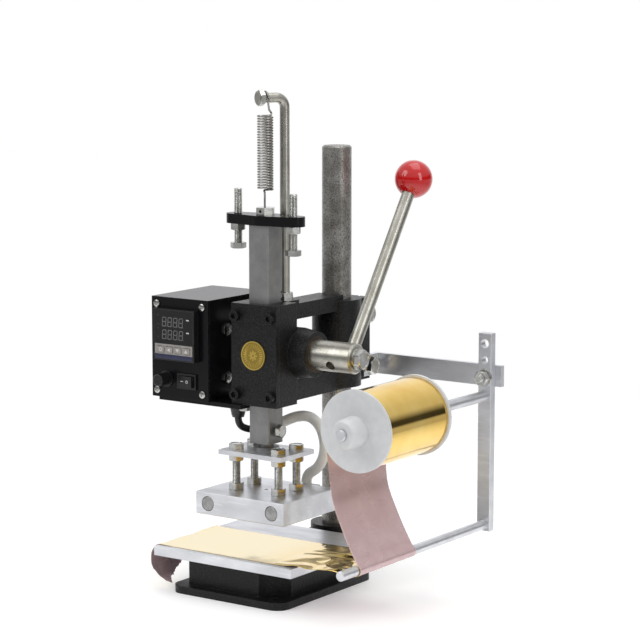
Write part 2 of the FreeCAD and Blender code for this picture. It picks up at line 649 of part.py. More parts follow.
def build_return_spring():
    """Closed coil body with a straight leg to the hook at each end."""
    coil = cut(cylinder("spring_r", "spring_length", (0, 0, "spring_bottom")),
               cylinder("spring_r-spring_wire", "spring_length+2", (0, 0, "spring_bottom-1")))
    leg = "spring_r-spring_wire/2"
    lower = cylinder("spring_wire/2", "spring_bottom-spring_hook_low-4",
                     (leg, 0, "spring_hook_low+4.5"))
    upper = cylinder("spring_wire/2", "spring_rod_top-spring_bottom-spring_length",
                     (leg, 0, "spring_bottom+spring_length-0.5"))
    node("return_spring", fuse(coil, lower, upper))


# ---------------------------------------------------------------- heating head
def build_heating_head():
    """Shank, adjusting plate on four levelling bolts, heat block and its heaters."""
    top = "plate_bottom+plate_thick"
    corners = [(0, 0), (12, 0), (12, 3), ("shank_r", 3), ("shank_r", "shank_top-(%s)" % top),
               (0, "shank_top-(%s)" % top)]
    node("holder_shank", turned_body(corners, (0, 0, top)))
    clamp = hex_bolt(6.4, 5, 3.0, "14-shank_r", (14, 0, "clamp_screw_z"), "x")
    node("ram_clamp_screw", clamp)
    spots = [("%d*level_x" % x, "%d*level_y" % y) for x in (-1, 1) for y in (-1, 1)]
    plate = padded_body(rectangle("plate_width", "plate_depth"), "plate_thick",
                        (0, 0, "plate_bottom"), "z", [spot + ("bolt_r",) for spot in spots])
    node("adjusting_plate", plate)
    bolts = [hex_bolt("bolt_head_r", "bolt_head_height", "bolt_r",
                      "(%s)-block_bottom-block_thick+11" % top, spot + (top,), "z")
             for spot in spots]
    node("levelling_bolts", group(bolts))
    block = box("block_width", "block_depth", "block_thick",
                ("-block_width/2", "-block_depth/2", "block_bottom"))
    eased = chamfer_all(block, 0.6)
    tools = [cylinder("bolt_r", 12, spot + ("block_bottom+block_thick-11",)) for spot in spots]
    heaters = []
    for side in (-1, 1):
        x = "%d*heater_x" % side
        tools.append(cylinder("heater_r", "block_depth+2", (x, "-block_depth/2-1", "heater_z"), "y"))
        heaters.append(turned_body([(0, 0), ("heater_r-0.8", 0), ("heater_r", 0.8),
                                    ("heater_r", "block_depth-1"), (0, "block_depth-1")],
                                   (x, "-block_depth/2", "heater_z"), "y"))
    tools.append(cylinder(2.0, 8, (0, 0, "block_bottom+block_thick-7")))
    node("heat_block", cut(eased, *tools))
    node("heater_cartridges", group(heaters))
    cover = box("2*terminal_half", "terminal_depth", "terminal_top-block_bottom-2",
                ("terminal_x-terminal_half", "block_depth/2", "block_bottom+2"))
    node("terminal_cover", chamfer_all(cover, 0.8))


# ---------------------------------------------------------------- lever
def build_lever():
    """Lever rod in the shaft's cross hole, ball knob and the bolt that locks the rod."""
    axis_y = value("ram_half-rack_tip+gear_module*gear_teeth/2")
    axis_z = value("shaft_z")
    lean = math.radians(value("lever_lean"))
    along = Vector(0, math.sin(lean), math.cos(lean))
    hub = Vector(value("lever_x"), axis_y, axis_z)
    turn = Rotation(Vector(0, 0, 1), along)
    ball_centre = hub + along * value("lever_reach")
    start = hub - along * 10
    rod = cylinder("lever_r", "lever_reach+10-6", tuple(start), turn)
    node("lever_rod", rod)
    ball = doc.addObject("Part::Sphere", "Ball")
    bind(ball, Radius="ball_r")
    place(ball, tuple(ball_centre), turn)
    seat = cylinder("lever_r", "ball_r", tuple(ball_centre - along * (value("ball_r") + 6)), turn)
    flat = cylinder("ball_r", 6, tuple(ball_centre - along * (value("ball_r") + 4.5)), turn)
    node("ball_knob", cut(ball, seat, flat))
    washer_x = "shaft_end+1.5"
    bolt = hex_bolt(9.6, 6.5, "end_bolt_r", 3.5, (washer_x, axis_y, "shaft_z"), "x")
    washer = cylinder(9.9, 1.5, ("shaft_end", axis_y, "shaft_z"), "x")
    node("lever_lock_bolt", fuse(bolt, washer))


# ---------------------------------------------------------------- control box
def build_control_box():
    """Folded box, its front panel, screws, and the bracket under it."""
    inner_back = "box_front+panel_thick"
    shell = box("box_width", "box_depth-panel_thick", "box_height",
                ("box_left", inner_back, "box_bottom"))
    hollow = box("box_width-2*box_wall", "box_depth-panel_thick-box_wall+1",
                 "box_height-2*box_wall",
                 ("box_left+box_wall", inner_back + "-1", "box_bottom+box_wall"))
    inlet_hole = box(27, 6, 20, (-92.5, "box_front+box_depth-3", 218))
    side_x = "box_left+box_width"
    side_holes = [cylinder(1.5, 6, (side_x + "-3", 1, z), "x") for z in (194, 239)]
    node("control_box", cut(shell, hollow, inlet_hole, *side_holes))
    panel = box("box_width", "panel_thick", "box_height", ("box_left", "box_front", "box_bottom"))
    meter_hole = box("meter_size+0.6", 6, "meter_size+0.6",
                     ("bezel_x-meter_size/2-0.3", "box_front-2", "bezel_z-meter_size/2-0.3"))
    switch_hole = box("switch_width-3", 6, "switch_height-2",
                      ("switch_x-switch_width/2+1.5", "box_front-2",
                       "switch_z-switch_height/2+1"))
    fuse_hole = cylinder(6.5, 6, ("fuse_x", "box_front-2", "fuse_z"), "y")
    corners = [(x, z) for x in ("box_left+panel_screw_inset",
                                "box_left+box_width-panel_screw_inset")
               for z in ("box_bottom+panel_screw_inset",
                         "box_bottom+box_height-panel_screw_inset")]
    screw_holes = [cylinder(1.5, 6, (x, "box_front-2", z), "y") for x, z in corners]
    node("box_front_panel", cut(panel, meter_hole, switch_hole, fuse_hole, *screw_holes))
    screws = [slotted_screw(3.3, 2.0, 1.5, 6, (x, "box_front", z), "-y") for x, z in corners]
    node("panel_screws", group(screws))
    bracket = box("bracket_width", "bracket_depth", "bracket_thick",
                  ("bracket_left", "bracket_front", "box_bottom-bracket_thick"))
    gland_hole = cylinder(4.0, 8, ("gland_x", "gland_y", "box_bottom-6"))
    mount_holes = [cylinder(2.5, 8, (-18.5, y, "box_bottom-6")) for y in (-8, 14)]
    node("box_bracket", cut(bracket, gland_hole, *mount_holes))
    mounting = [hex_bolt(5.2, 3.5, 2.5, 10, (-18.5, y, "box_bottom-bracket_thick"), "-z")
                for y in (-8, 14)]
    side = [slotted_screw(5.6, 2.4, 1.5, 4, (side_x, 1, z), "x") for z in (194, 239)]
    node("box_screws", group(mounting + side))


def build_meter():
    """Temperature controller: bezel and body, display window, and four membrane keys."""
    front = "box_front-bezel_deep"
    half = "bezel_size/2"
    bezel = box("bezel_size", "bezel_deep", "bezel_size",
                ("bezel_x-" + half, front, "bezel_z-" + half))
    body = box("meter_size", "meter_deep", "meter_size",
               ("bezel_x-meter_size/2", "box_front-1", "bezel_z-meter_size/2"))
    window_seat = box(44, 1.0, 31.5, ("bezel_x-22", front + "-0.2", 226.0))
    key_seats = []
    for index in range(4):
        x = "bezel_x+%g*key_pitch" % (index - 1.5)
        key_seats.append(box("key_width+2*key_gap", 5, "key_height+2*key_gap",
                             (x + "-key_width/2-key_gap", front + "-1",
                              "key_z-key_height/2-key_gap")))
    node("temperature_controller", cut(fuse(bezel, body), window_seat, *key_seats))
    node("display_window", box(44, 0.8, 31.5, ("bezel_x-22", front, 226.0)))
    for index, name in enumerate(("key_set", "key_shift", "key_down", "key_up")):
        x = "bezel_x+%g*key_pitch" % (index - 1.5)
        key = box("key_width", "key_proud+2.5", "key_height",
                  (x + "-key_width/2", front + "-key_proud", "key_z-key_height/2"))
        node(name, key)


def build_switch():
    """Rocker switch: frame with its pocket, and the rocker tilted to one side."""
    frame = fuse(box("switch_width", 2, "switch_height",
                     ("switch_x-switch_width/2", "box_front-2", "switch_z-switch_height/2")),
                 box("switch_width-3", 20, "switch_height-2",
                     ("switch_x-switch_width/2+1.5", "box_front-1",
                      "switch_z-switch_height/2+1")))
    pocket = box("switch_width-4.2", 12, "switch_height-3.8",
                 ("switch_x-switch_width/2+2.1", "box_front-4", "switch_z-switch_height/2+1.9"))
    node("rocker_frame", cut(frame, pocket))
    tilt = Rotation(Vector(0, 0, 1), -value("switch_tilt"))
    length = value("switch_width") - 5.6
    height = value("switch_height") - 4.4
    corner = tilt.multVec(Vector(-length / 2, -3.6, 0))
    at = (value("switch_x") + corner.x, value("box_front") + corner.y,
          value("switch_z") - height / 2)
    node("rocker_button", box(length, 6.0, height, at, tilt))


def build_fuse_holder():
    """Panel fuse holder with a knurled bayonet cap."""
    front = "box_front"
    corners = [("fuse_spigot_r+fuse_gap", -1.5), ("fuse_flange_r", -1.5),
               ("fuse_flange_r", 0), (6.5, 0), (6.5, 30), (0, 30), (0, 28),
               ("fuse_spigot_r+fuse_gap", 28)]
    node("fuse_holder", turned_body(corners, ("fuse_x", front, "fuse_z"), "y"))
    start = "-fuse_cap_proud"
    corners = [(0, start), ("fuse_cap_r-0.8", start), ("fuse_cap_r", start + "+0.8"),
               ("fuse_cap_r", -2), ("fuse_spigot_r", -2), ("fuse_spigot_r", 8), (3, 8),
               (3, 25), (0, 25)]
    cap = turned_body(corners, ("fuse_x", front, "fuse_z"), "y")
    slot = box(8, 1.5, 1.6, ("fuse_x-4", "box_front-fuse_cap_proud-0.2", "fuse_z-0.8"))
    node("fuse_cap", cut(cap, slot))


def build_box_inside():
    """Solid-state relay and the mains inlet in the back wall."""
    relay = fuse(box(44, 56, 20, (-101, 4, "box_bottom+box_wall")),
                 box(30, 8, 3, (-94, 8, "box_bottom+box_wall+20")),
                 box(30, 8, 3, (-94, 48, "box_bottom+box_wall+20")))
    node("solid_state_relay", relay)
    back = "box_front+box_depth"
    inlet = fuse(box(27, 18, 20, (-92.5, back + "-18", 218)),
                 box(32, 2.5, 26, (-95, back, 215)))
    socket = box(22, 14, 15, (-90, back + "-10", 220.5))
    pins = [box(2, 6, 4, (x, back + "-10.5", z)) for x, z in ((-86, 226), (-80, 229), (-74, 226))]
    node("power_inlet", fuse(cut(inlet, socket), *pins))


def build_gland_and_sleeve():
    """Cable gland under the bracket, and the sleeve with the heater and sensor leads."""
    top = "box_bottom-bracket_thick"
    corners = [("sleeve_r-1.6", 0), ("gland_r", 0), ("gland_r", 4.5), ("gland_r-0.6", 7),
               ("gland_r-1.2", 10.5), ("gland_r-2", "gland_length"),
               ("sleeve_r-1.6", "gland_length")]
    node("cable_gland", turned_body(corners, ("gland_x", "gland_y", top), "-z"))
    gland = Vector(value("gland_x"), value("gland_y"), value(top + "-gland_length"))
    cover = Vector(value("terminal_x"), value("block_depth/2+terminal_depth/2"),
                   value("terminal_top"))
    points = [gland, Vector(-36, 5, 149.5), Vector(-31, 14, 144), Vector(-22, 27, 144),
              Vector(-11, 39, 149), Vector(1, 47, 155.5), Vector(14, 51, 156),
              Vector(25, 51, 148), Vector(31, 50, 135), Vector(31, 49, 120),
              Vector(24, 48, 107.5), Vector(12, 47, 101), cover]
    radii = []
    for before, corner, after in zip(points, points[1:], points[2:]):
        turn = math.pi - (before - corner).getAngle(after - corner)
        shorter = min((before - corner).Length, (after - corner).Length)
        radii.append(0.45 * shorter / math.tan(turn / 2))
    print("sleeve arc radii", [round(radius) for radius in radii])
    path = rounded_path(points, radii)
    sleeve = round_bar(path, value("sleeve_r"))
    print("sleeve volume", round(sleeve.Volume), "section times length",
          round(path.Length * math.pi * value("sleeve_r") ** 2))
    shaped("wire_sleeve", sleeve)


# ---------------------------------------------------------------- foil feed
def build_foil_frame():
    """Bent arm on the collar, upright bar, spindle and guide rod."""
    bar = box("arm_end-ear_half", "arm_thick", "arm_height",
              ("ear_half", "arm_back-arm_thick", "arm_bottom"))
    leg = box("arm_thick", "arm_back-arm_leg_front", "arm_height",
              ("ear_half", "arm_leg_front", "arm_bottom"))
    clamp_hole = cylinder(5.0, "arm_thick+2", ("ear_half-1", "clamp_bolt_y", "clamp_low"), "x")
    back_y = "arm_back-arm_thick"
    bolt_hole = cylinder(4.0, "arm_thick+2", ("upright_x", back_y + "-1", "arm_bottom+9"), "y")
    node("foil_arm", cut(fuse(bar, leg), clamp_hole, bolt_hole))
    front_y = back_y + "-upright_thick"
    half = "upright_width/2"
    upright = box("upright_width", "upright_thick", "upright_top-upright_bottom",
                  ("upright_x-" + half, front_y, "upright_bottom"))
    eased = chamfer_all(upright, 0.5)
    holes = [cylinder(radius, "upright_thick+2", ("upright_x", front_y + "-1", z), "y")
             for radius, z in ((4.3, 223), (3.6, 207.5), (4.0, "arm_bottom+9"),
                               ("spindle_r", "spindle_z"), ("guide_r", "guide_z"))]
    node("foil_upright", cut(eased, *holes))
    bolt = hex_bolt(7.5, 5.3, 4.0, "arm_thick+upright_thick+12",
                    ("upright_x", "arm_back", "arm_bottom+9"), "y")
    washer = cut(cylinder(8.3, 1.4, ("upright_x", front_y, "arm_bottom+9"), "-y"),
                 cylinder(4.0, 4, ("upright_x", front_y + "+1", "arm_bottom+9"), "-y"))
    nut = cut(hexagon(7.5, 6.5, ("upright_x", front_y + "-1.4", "arm_bottom+9"), "-y"),
              cylinder(4.0, 9, ("upright_x", front_y, "arm_bottom+9"), "-y"))
    node("upright_bolt_set", group([bolt, washer, nut]))
    back = value(back_y)
    for label, radius, z in (("foil_spindle", "spindle_r", "spindle_z"),
                             ("guide_rod", "guide_r", "guide_z")):
        length = "%g-spindle_front" % back
        corners = [(0, 0), (radius + "-0.8", 0), (radius, 0.8), (radius, length), (0, length)]
        node(label, turned_body(corners, ("upright_x", "spindle_front", z), "y"))


def build_roll():
    """Foil roll: two flanges with hubs, core tube, wound foil and the hubs' set screws."""
    thick = "roll_flange_thick"
    bore = "spindle_r+bush_gap"
    plug = 12
    front = [(bore, "-roll_hub_length"), ("roll_hub_r-3", "-roll_hub_length"),
             ("roll_hub_r-1", "-roll_hub_length+3"), ("roll_hub_r", -1), ("roll_flange_r", 0),
             ("roll_flange_r", thick), ("roll_core_r-2", thick), ("roll_core_r-2", plug),
             (bore, plug)]
    back = [(bore, -8), ("roll_hub_r", -8)] + [("roll_hub_r", 0)] + front[4:]
    front_flange = turned_body(front, ("upright_x", "roll_front", "spindle_z"), "y")
    back_flange = turned_body(back, ("upright_x", "roll_back", "spindle_z"), "-y")
    screw_y = "roll_front-roll_hub_length/2"
    screw_hole = cylinder(2.0, 20, ("upright_x", screw_y, "spindle_z-spindle_r"), "-z")
    node("roll_flanges", group([cut(front_flange, screw_hole), back_flange]))
    start = "roll_front+" + thick
    length = "roll_back-roll_front-2*" + thick
    core = cut(cylinder("roll_core_r", length, ("upright_x", start, "spindle_z"), "y"),
               cylinder("roll_core_r-2", length + "+2",
                        ("upright_x", start + "-1", "spindle_z"), "y"))
    node("roll_core", core)
    winding = cut(cylinder("roll_foil_r", length, ("upright_x", start, "spindle_z"), "y"),
                  cylinder("roll_core_r", length + "+2",
                           ("upright_x", start + "-1", "spindle_z"), "y"))
    node("foil_winding", winding)
    screw = cylinder(2.0, 7.2, ("upright_x", screw_y, "spindle_z-spindle_r-0.3"), "-z")
    node("hub_set_screw", screw)


def ribbon(points, thickness, start_y, width):
    """Thin sheet along a line in the XZ plane, on the line's left side."""
    sides = []
    for before, after in zip(points, points[1:]):
        along = (after - before).normalize()
        sides.append(Vector(along.z, 0, -along.x))
    outer = []
    for index, point in enumerate(points):
        near = sides[max(0, index - 1)] + sides[min(index, len(sides) - 1)]
        near.normalize()
        lean = near.dot(sides[min(index, len(sides) - 1)])
        outer.append(point + near * (thickness / lean))
    corners = points + outer[::-1]
    face = Part.Face(Part.makePolygon(corners + corners[:1]))
    face.translate(Vector(0, start_y, 0))
    return face.extrude(Vector(0, width, 0))


def build_foil():
    """Foil that lies on the table and hangs over its left edge, and the part fed to it."""
    top = value("base_height+table_thick")
    left = value("foil_left")
    thin = value("foil_thick")
    front, width = value("foil_front"), value("foil_width")
    on_table = [Vector(88, 0, top + 0.2), Vector(77, 0, top), Vector(left, 0, top),
                Vector(left - 2, 0, top - 3), Vector(left - 1.6, 0, top - 20),
                Vector(left + 2.5, 0, top - 34)]
    shaped("foil_on_table", ribbon(on_table, thin, front, width))
    roll_x = value("upright_x") - value("roll_foil_r") - thin - 0.4
    guide_x, guide_z = value("upright_x"), value("guide_z")
    clear = value("guide_r") + 0.35
    turns = [Vector(guide_x + clear * math.cos(angle), 0, guide_z + clear * math.sin(angle))
             for angle in (math.radians(degrees) for degrees in (30, 0, -30, -60, -90))]
    feed = [Vector(roll_x, 0, value("spindle_z") - 2), Vector(110, 0, 140), Vector(115, 0, 108),
            Vector(127, 0, 84), Vector(137, 0, 66)] + turns + [Vector(88.3, 0, top + 0.2)]
    shaped("foil_feed", ribbon(feed, -thin, front, width))


# ---------------------------------------------------------------- build, check and write
build_base()
build_column()
build_table()
build_head_casting()
build_cover()
build_bushes()
build_clamp_bolts()
build_pinion_shaft()
build_ram()
build_cross_plate()
build_lock_nuts()
build_spring_eye_screw()
build_spring_rod()
build_return_spring()
build_heating_head()
build_lever()
build_control_box()
build_meter()
build_switch()
build_fuse_holder()
build_box_inside()
build_gland_and_sleeve()
build_foil_frame()
build_roll()
build_foil()
doc.recompute()

failed = [obj.Name for obj in doc.Objects if {"Invalid", "Error"} & set(obj.State)]
if failed:
    raise SystemExit("failed objects: " + ", ".join(failed))
os.makedirs("parts", exist_ok=True)
for obj in NODES:
    shape = obj.Shape
    if shape.isNull() or not shape.isValid() or not shape.Solids:
        raise SystemExit("bad shape: " + obj.Label)
for obj in NODES:
    obj.Shape.exportStep("parts/%s.step" % obj.Label)
print(len(NODES), "sub-parts written")
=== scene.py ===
"""Hot foil stamper: the visual model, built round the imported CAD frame.

Piece meshes are made in millimetres in the CAD frame, and finish_mesh turns them into metres.
"""
import json
import math

import bmesh
import bpy
from mathutils import Matrix, Vector, noise


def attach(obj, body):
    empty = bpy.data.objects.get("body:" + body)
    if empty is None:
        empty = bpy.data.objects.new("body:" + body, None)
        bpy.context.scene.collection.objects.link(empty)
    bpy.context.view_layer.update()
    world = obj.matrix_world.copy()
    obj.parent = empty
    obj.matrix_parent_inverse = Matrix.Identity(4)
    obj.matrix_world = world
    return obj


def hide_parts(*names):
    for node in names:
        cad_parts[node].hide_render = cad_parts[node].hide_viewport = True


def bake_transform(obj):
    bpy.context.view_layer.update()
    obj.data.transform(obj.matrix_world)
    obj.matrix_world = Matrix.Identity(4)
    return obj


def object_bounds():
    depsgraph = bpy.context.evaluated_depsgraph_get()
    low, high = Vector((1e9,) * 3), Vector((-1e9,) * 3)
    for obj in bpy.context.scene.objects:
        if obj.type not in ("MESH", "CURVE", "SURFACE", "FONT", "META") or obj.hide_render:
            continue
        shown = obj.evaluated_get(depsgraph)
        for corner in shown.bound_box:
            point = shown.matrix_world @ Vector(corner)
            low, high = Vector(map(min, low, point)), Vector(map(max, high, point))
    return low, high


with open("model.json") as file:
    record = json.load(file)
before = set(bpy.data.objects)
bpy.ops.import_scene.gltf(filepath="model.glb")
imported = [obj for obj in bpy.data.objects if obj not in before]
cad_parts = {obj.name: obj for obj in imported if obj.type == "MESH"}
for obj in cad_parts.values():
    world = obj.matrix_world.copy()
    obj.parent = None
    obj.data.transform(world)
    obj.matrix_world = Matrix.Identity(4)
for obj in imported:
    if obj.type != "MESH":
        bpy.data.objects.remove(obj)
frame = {"nodes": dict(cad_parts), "record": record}
cad_low, cad_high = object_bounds()

MM = 0.001
UP = Vector((0, 0, 1))
RIGHT, FRONT, BACK = Vector((1, 0, 0)), Vector((0, -1, 0)), Vector((0, 1, 0))


def grey(value):
    return (value, value, value)


# ---- camera
def make_camera():
    """Camera at the photograph's viewing angle."""
    data = bpy.data.cameras.new("camera")
    data.sensor_width = 36.0
    data.lens = 130.6
    data.clip_end = 50.0
    camera = bpy.data.objects.new("camera", data)
    camera.location = (1.247, -1.692, 0.554)
    camera.rotation_euler = (math.radians(81.81), 0.0, math.radians(35.04))
    bpy.context.scene.collection.objects.link(camera)
    bpy.context.scene.camera = camera


make_camera()


# ---- node materials
class Look:
    """A principled material under construction, with short calls for the nodes that it uses."""

    def __init__(self, name):
        self.material = bpy.data.materials.new(name)
        self.material.use_nodes = True
        self.tree = self.material.node_tree
        self.tree.nodes.clear()
        self.shader = self.node("ShaderNodeBsdfPrincipled")
        output = self.node("ShaderNodeOutputMaterial")
        self.link(self.shader.outputs[0], output.inputs["Surface"])
        self.place = self.node("ShaderNodeTexCoord").outputs["Object"]

    def node(self, kind, **settings):
        made = self.tree.nodes.new(kind)
        for key, setting in settings.items():
            setattr(made, key, setting)
        return made

    def link(self, source, target):
        self.tree.links.new(source, target)

    def set(self, **sockets):
        for key, setting in sockets.items():
            self.shader.inputs[key.replace("_", " ")].default_value = setting

    def noise(self, size_mm, detail=3.0, stretch=(1, 1, 1), rough=0.55):
        """Noise whose features are about size_mm across, drawn out along an axis where stretch is below 1."""
        mapping = self.node("ShaderNodeMapping")
        mapping.inputs["Scale"].default_value = [1000.0 / size_mm * s for s in stretch]
        self.link(self.place, mapping.inputs["Vector"])
        made = self.node("ShaderNodeTexNoise")
        made.inputs["Scale"].default_value = 1.0
        made.inputs["Detail"].default_value = detail
        made.inputs["Roughness"].default_value = rough
        self.link(mapping.outputs[0], made.inputs["Vector"])
        return made.outputs["Fac"]

    def ramp(self, source, low, high, start=0.3, end=0.7):
        """source from start to end becomes low to high, which are numbers or colours."""
        if isinstance(low, tuple):
            made = self.node("ShaderNodeValToRGB")
            made.color_ramp.elements[0].position = start
            made.color_ramp.elements[1].position = end
            made.color_ramp.elements[0].color = (*low, 1)
            made.color_ramp.elements[1].color = (*high, 1)
            self.link(source, made.inputs[0])
            return made.outputs[0]
        made = self.node("ShaderNodeMapRange")
        for key, setting in (("From Min", start), ("From Max", end), ("To Min", low), ("To Max", high)):
            made.inputs[key].default_value = setting
        self.link(source, made.inputs["Value"])
        return made.outputs[0]

    def mix(self, factor, first, second):
        """Colour mix; factor is a socket, and the colours are sockets or tuples."""
        made = self.node("ShaderNodeMix", data_type="RGBA")
        self.link(factor, made.inputs["Factor"])
        for key, given in ((6, first), (7, second)):
            if isinstance(given, tuple):
                made.inputs[key].default_value = (*given, 1)
            else:
                self.link(given, made.inputs[key])
        return made.outputs[2]

    def blend(self, factor, first, second):
        """Number mix by a factor socket; first is a socket and second a number."""
        made = self.node("ShaderNodeMix", data_type="FLOAT")
        self.link(factor, made.inputs["Factor"])
        self.link(first, made.inputs[2])
        made.inputs[3].default_value = second
        return made.outputs[0]

    def edges(self, radius_mm):
        """(rounded normal, mask that is 1 at the part's edges)."""
        bevel = self.node("ShaderNodeBevel", samples=4)
        bevel.inputs["Radius"].default_value = radius_mm * MM
        flat = self.node("ShaderNodeNewGeometry")
        dot = self.node("ShaderNodeVectorMath", operation="DOT_PRODUCT")
        self.link(bevel.outputs[0], dot.inputs[0])
        self.link(flat.outputs["Normal"], dot.inputs[1])
        return bevel.outputs[0], self.ramp(dot.outputs["Value"], 1.0, 0.0, 0.86, 0.99)

    def wear_and_highlight_patches(self, edge_wear_and_highlight):
        """The edge mask, which carries wear and painted highlight, broken up into patches."""
        factor = self.node("ShaderNodeMath", operation="MULTIPLY")
        self.link(edge_wear_and_highlight, factor.inputs[0])
        self.link(self.ramp(self.noise(3.0, 3.0), 0.0, 0.8, 0.45, 0.62), factor.inputs[1])
        return factor.outputs[0]

    def along(self, axis):
        """The coordinate on one axis of the CAD frame, in metres."""
        split = self.node("ShaderNodeSeparateXYZ")
        self.link(self.place, split.inputs[0])
        return split.outputs[axis]

    def bump(self, height, depth_mm, normal=None):
        made = self.node("ShaderNodeBump")
        made.inputs["Strength"].default_value = 1.0
        made.inputs["Distance"].default_value = depth_mm * MM
        self.link(height, made.inputs["Height"])
        if normal is not None:
            self.link(normal, made.inputs["Normal"])
        return made.outputs[0]

    def colour(self, source):
        self.link(source, self.shader.inputs["Base Color"])

    def roughness(self, source):
        self.link(source, self.shader.inputs["Roughness"])

    def normal(self, source):
        self.link(source, self.shader.inputs["Normal"])


WORN_ROUGHNESS = 0.3


def surface(name, dark, light, rough, grain, depth, blotch=18.0, edge=None, round_mm=0.4, stretch=(1, 1, 1),
            **sockets):
    """Material with blotches of two colours, grain in the roughness and relief, rounded edges, and an edge
    colour that is partly wear and partly painted highlight.
    """
    look = Look(name)
    patches = look.noise(blotch, 4.0)
    fine = look.noise(grain, 4.0, stretch)
    rounded, edge_wear_and_highlight = look.edges(round_mm)
    colour = look.ramp(patches, dark, light)
    smoothness = look.ramp(fine, rough[0], rough[1])
    # The edge colour is partly wear and partly a painted highlight along the edges.
    if edge:
        wear_and_highlight_spots = look.wear_and_highlight_patches(edge_wear_and_highlight)
        colour = look.mix(wear_and_highlight_spots, colour, edge)
        smoothness = look.blend(wear_and_highlight_spots, smoothness, WORN_ROUGHNESS)
    look.colour(colour)
    look.roughness(smoothness)
    look.normal(look.bump(fine, depth, rounded))
    look.set(**sockets)
    return look


def painted_cast_iron():
    """Black paint over a rough casting: pebbled relief with small bright specks, and lighter edges that are
    partly wear and partly painted highlight.
    """
    look = Look("painted_cast_iron")
    pebbles = look.noise(1.7, 3.0)
    specks = look.noise(0.8, 1.0)
    rounded, edge_wear_and_highlight = look.edges(0.8)
    base = look.ramp(pebbles, grey(0.003), (0.009, 0.009, 0.010))
    sparkle = look.mix(look.ramp(specks, 0.0, 0.9, 0.60, 0.70), base, (0.05, 0.05, 0.052))
    # Lighter patchy edges: partly wear, partly painted highlight.
    look.colour(look.mix(look.wear_and_highlight_patches(edge_wear_and_highlight), sparkle, grey(0.06)))
    look.roughness(look.ramp(pebbles, 0.26, 0.46))
    look.normal(look.bump(pebbles, 0.5, rounded))
    look.set(Specular_IOR_Level=0.26)
    return look


def speckled_steel():
    """Ground bar with dark pits and faint stains."""
    look = Look("speckled_ground_steel")
    pits = look.noise(1.1, 5.0, (1, 1, 0.7), 0.7)
    stains = look.noise(14.0, 4.0)
    rounded, _ = look.edges(0.4)
    base = look.ramp(stains, (0.24, 0.23, 0.21), (0.46, 0.45, 0.43))
    look.colour(look.mix(look.ramp(pits, 0.85, 0.0, 0.38, 0.55), base, (0.075, 0.07, 0.06)))
    look.roughness(look.ramp(pits, 0.55, 0.28, 0.38, 0.6))
    look.normal(look.bump(pits, 0.05, rounded))
    look.set(Metallic=0.85)
    return look


def bright_steel():
    """Plated bar stock: fine speckle over a bright, slightly olive ground."""
    look = Look("plated_bar_steel")
    pits = look.noise(0.5, 4.0, (1, 1, 0.8), 0.65)
    stains = look.noise(12.0, 3.0)
    rounded, _ = look.edges(0.4)
    base = look.ramp(stains, (0.40, 0.39, 0.34), (0.56, 0.55, 0.50))
    look.colour(look.mix(look.ramp(pits, 0.35, 0.0, 0.36, 0.5), base, (0.18, 0.17, 0.14)))
    look.roughness(look.ramp(pits, 0.42, 0.26, 0.38, 0.6))
    look.normal(look.bump(pits, 0.015, rounded))
    look.set(Metallic=1.0)
    return look


def milled_aluminium():
    """Sawn and milled plate: fine parallel tool marks, soft smears and a few scratches, and lighter edges that
    are partly wear and partly painted highlight.
    """
    look = Look("milled_aluminium_plate")
    marks = look.noise(0.45, 2.0, (0.02, 1, 1))
    smears = look.noise(22.0, 3.0, (0.5, 1, 1))
    scratches = look.noise(1.6, 2.0, (0.05, 0.9, 0.9), 0.3)
    rounded, edge_wear_and_highlight = look.edges(0.35)
    base = look.ramp(smears, (0.60, 0.61, 0.64), (0.76, 0.77, 0.80))
    lined = look.mix(look.ramp(scratches, 0.0, 0.35, 0.62, 0.68), base, (0.86, 0.87, 0.9))
    # Lighter edges all round: partly wear, partly painted highlight.
    look.colour(look.mix(edge_wear_and_highlight, lined, (0.9, 0.91, 0.93)))
    look.roughness(look.ramp(smears, 0.42, 0.30))
    look.normal(look.bump(marks, 0.012, rounded))
    look.set(Metallic=0.92)
    return look


def gold_foil(name, ripple_mm, depth, detail):
    """Mirror film with soft ripples; its colour is set by the caller."""
    look = Look(name)
    ripple = look.noise(ripple_mm, detail, (1, 0.55, 1), 0.5)
    look.roughness(look.ramp(ripple, 0.07, 0.13))
    look.normal(look.bump(ripple, depth))
    look.set(Metallic=1.0)
    return look


def roll_gold():
    """Tightly wound film: nearly even colour and very shallow ripples."""
    look = gold_foil("gold_roll_surface", 30.0, 0.10, 1.5)
    look.colour(look.ramp(look.noise(30.0, 2.0), (0.86, 0.56, 0.13), (0.94, 0.68, 0.22)))
    return look


def web_gold_painted_glare():
    """The web's gold face with a painted reflection: pale gold where it lies flat on the table, deep gold in
    the folds by the guide rod; the film itself has one colour.
    """
    look = gold_foil("gold_web_painted_glare", 16.0, 0.18, 3.0)
    flat_end, folds_start = 0.02, 0.09
    # Painted reflection: the colour runs along X from pale glare gold to deep gold, whatever the light.
    look.colour(look.ramp(look.along("X"), (0.97, 0.83, 0.52), (0.93, 0.67, 0.22), flat_end, folds_start))
    return look


def stamped_brass():
    """Emblem brass, darker in the lowered parts of its relief."""
    look = Look("stamped_brass")
    fine = look.noise(0.3, 3.0)
    raised_y, lowered_y = -0.0201, -0.0199
    low = look.ramp(look.along("Y"), 0.0, 1.0, raised_y, lowered_y)
    look.colour(look.mix(low, (0.52, 0.375, 0.08), (0.31, 0.215, 0.035)))
    look.roughness(look.ramp(fine, 0.34, 0.44))
    look.normal(look.bump(fine, 0.004))
    look.set(Metallic=0.6)
    return look


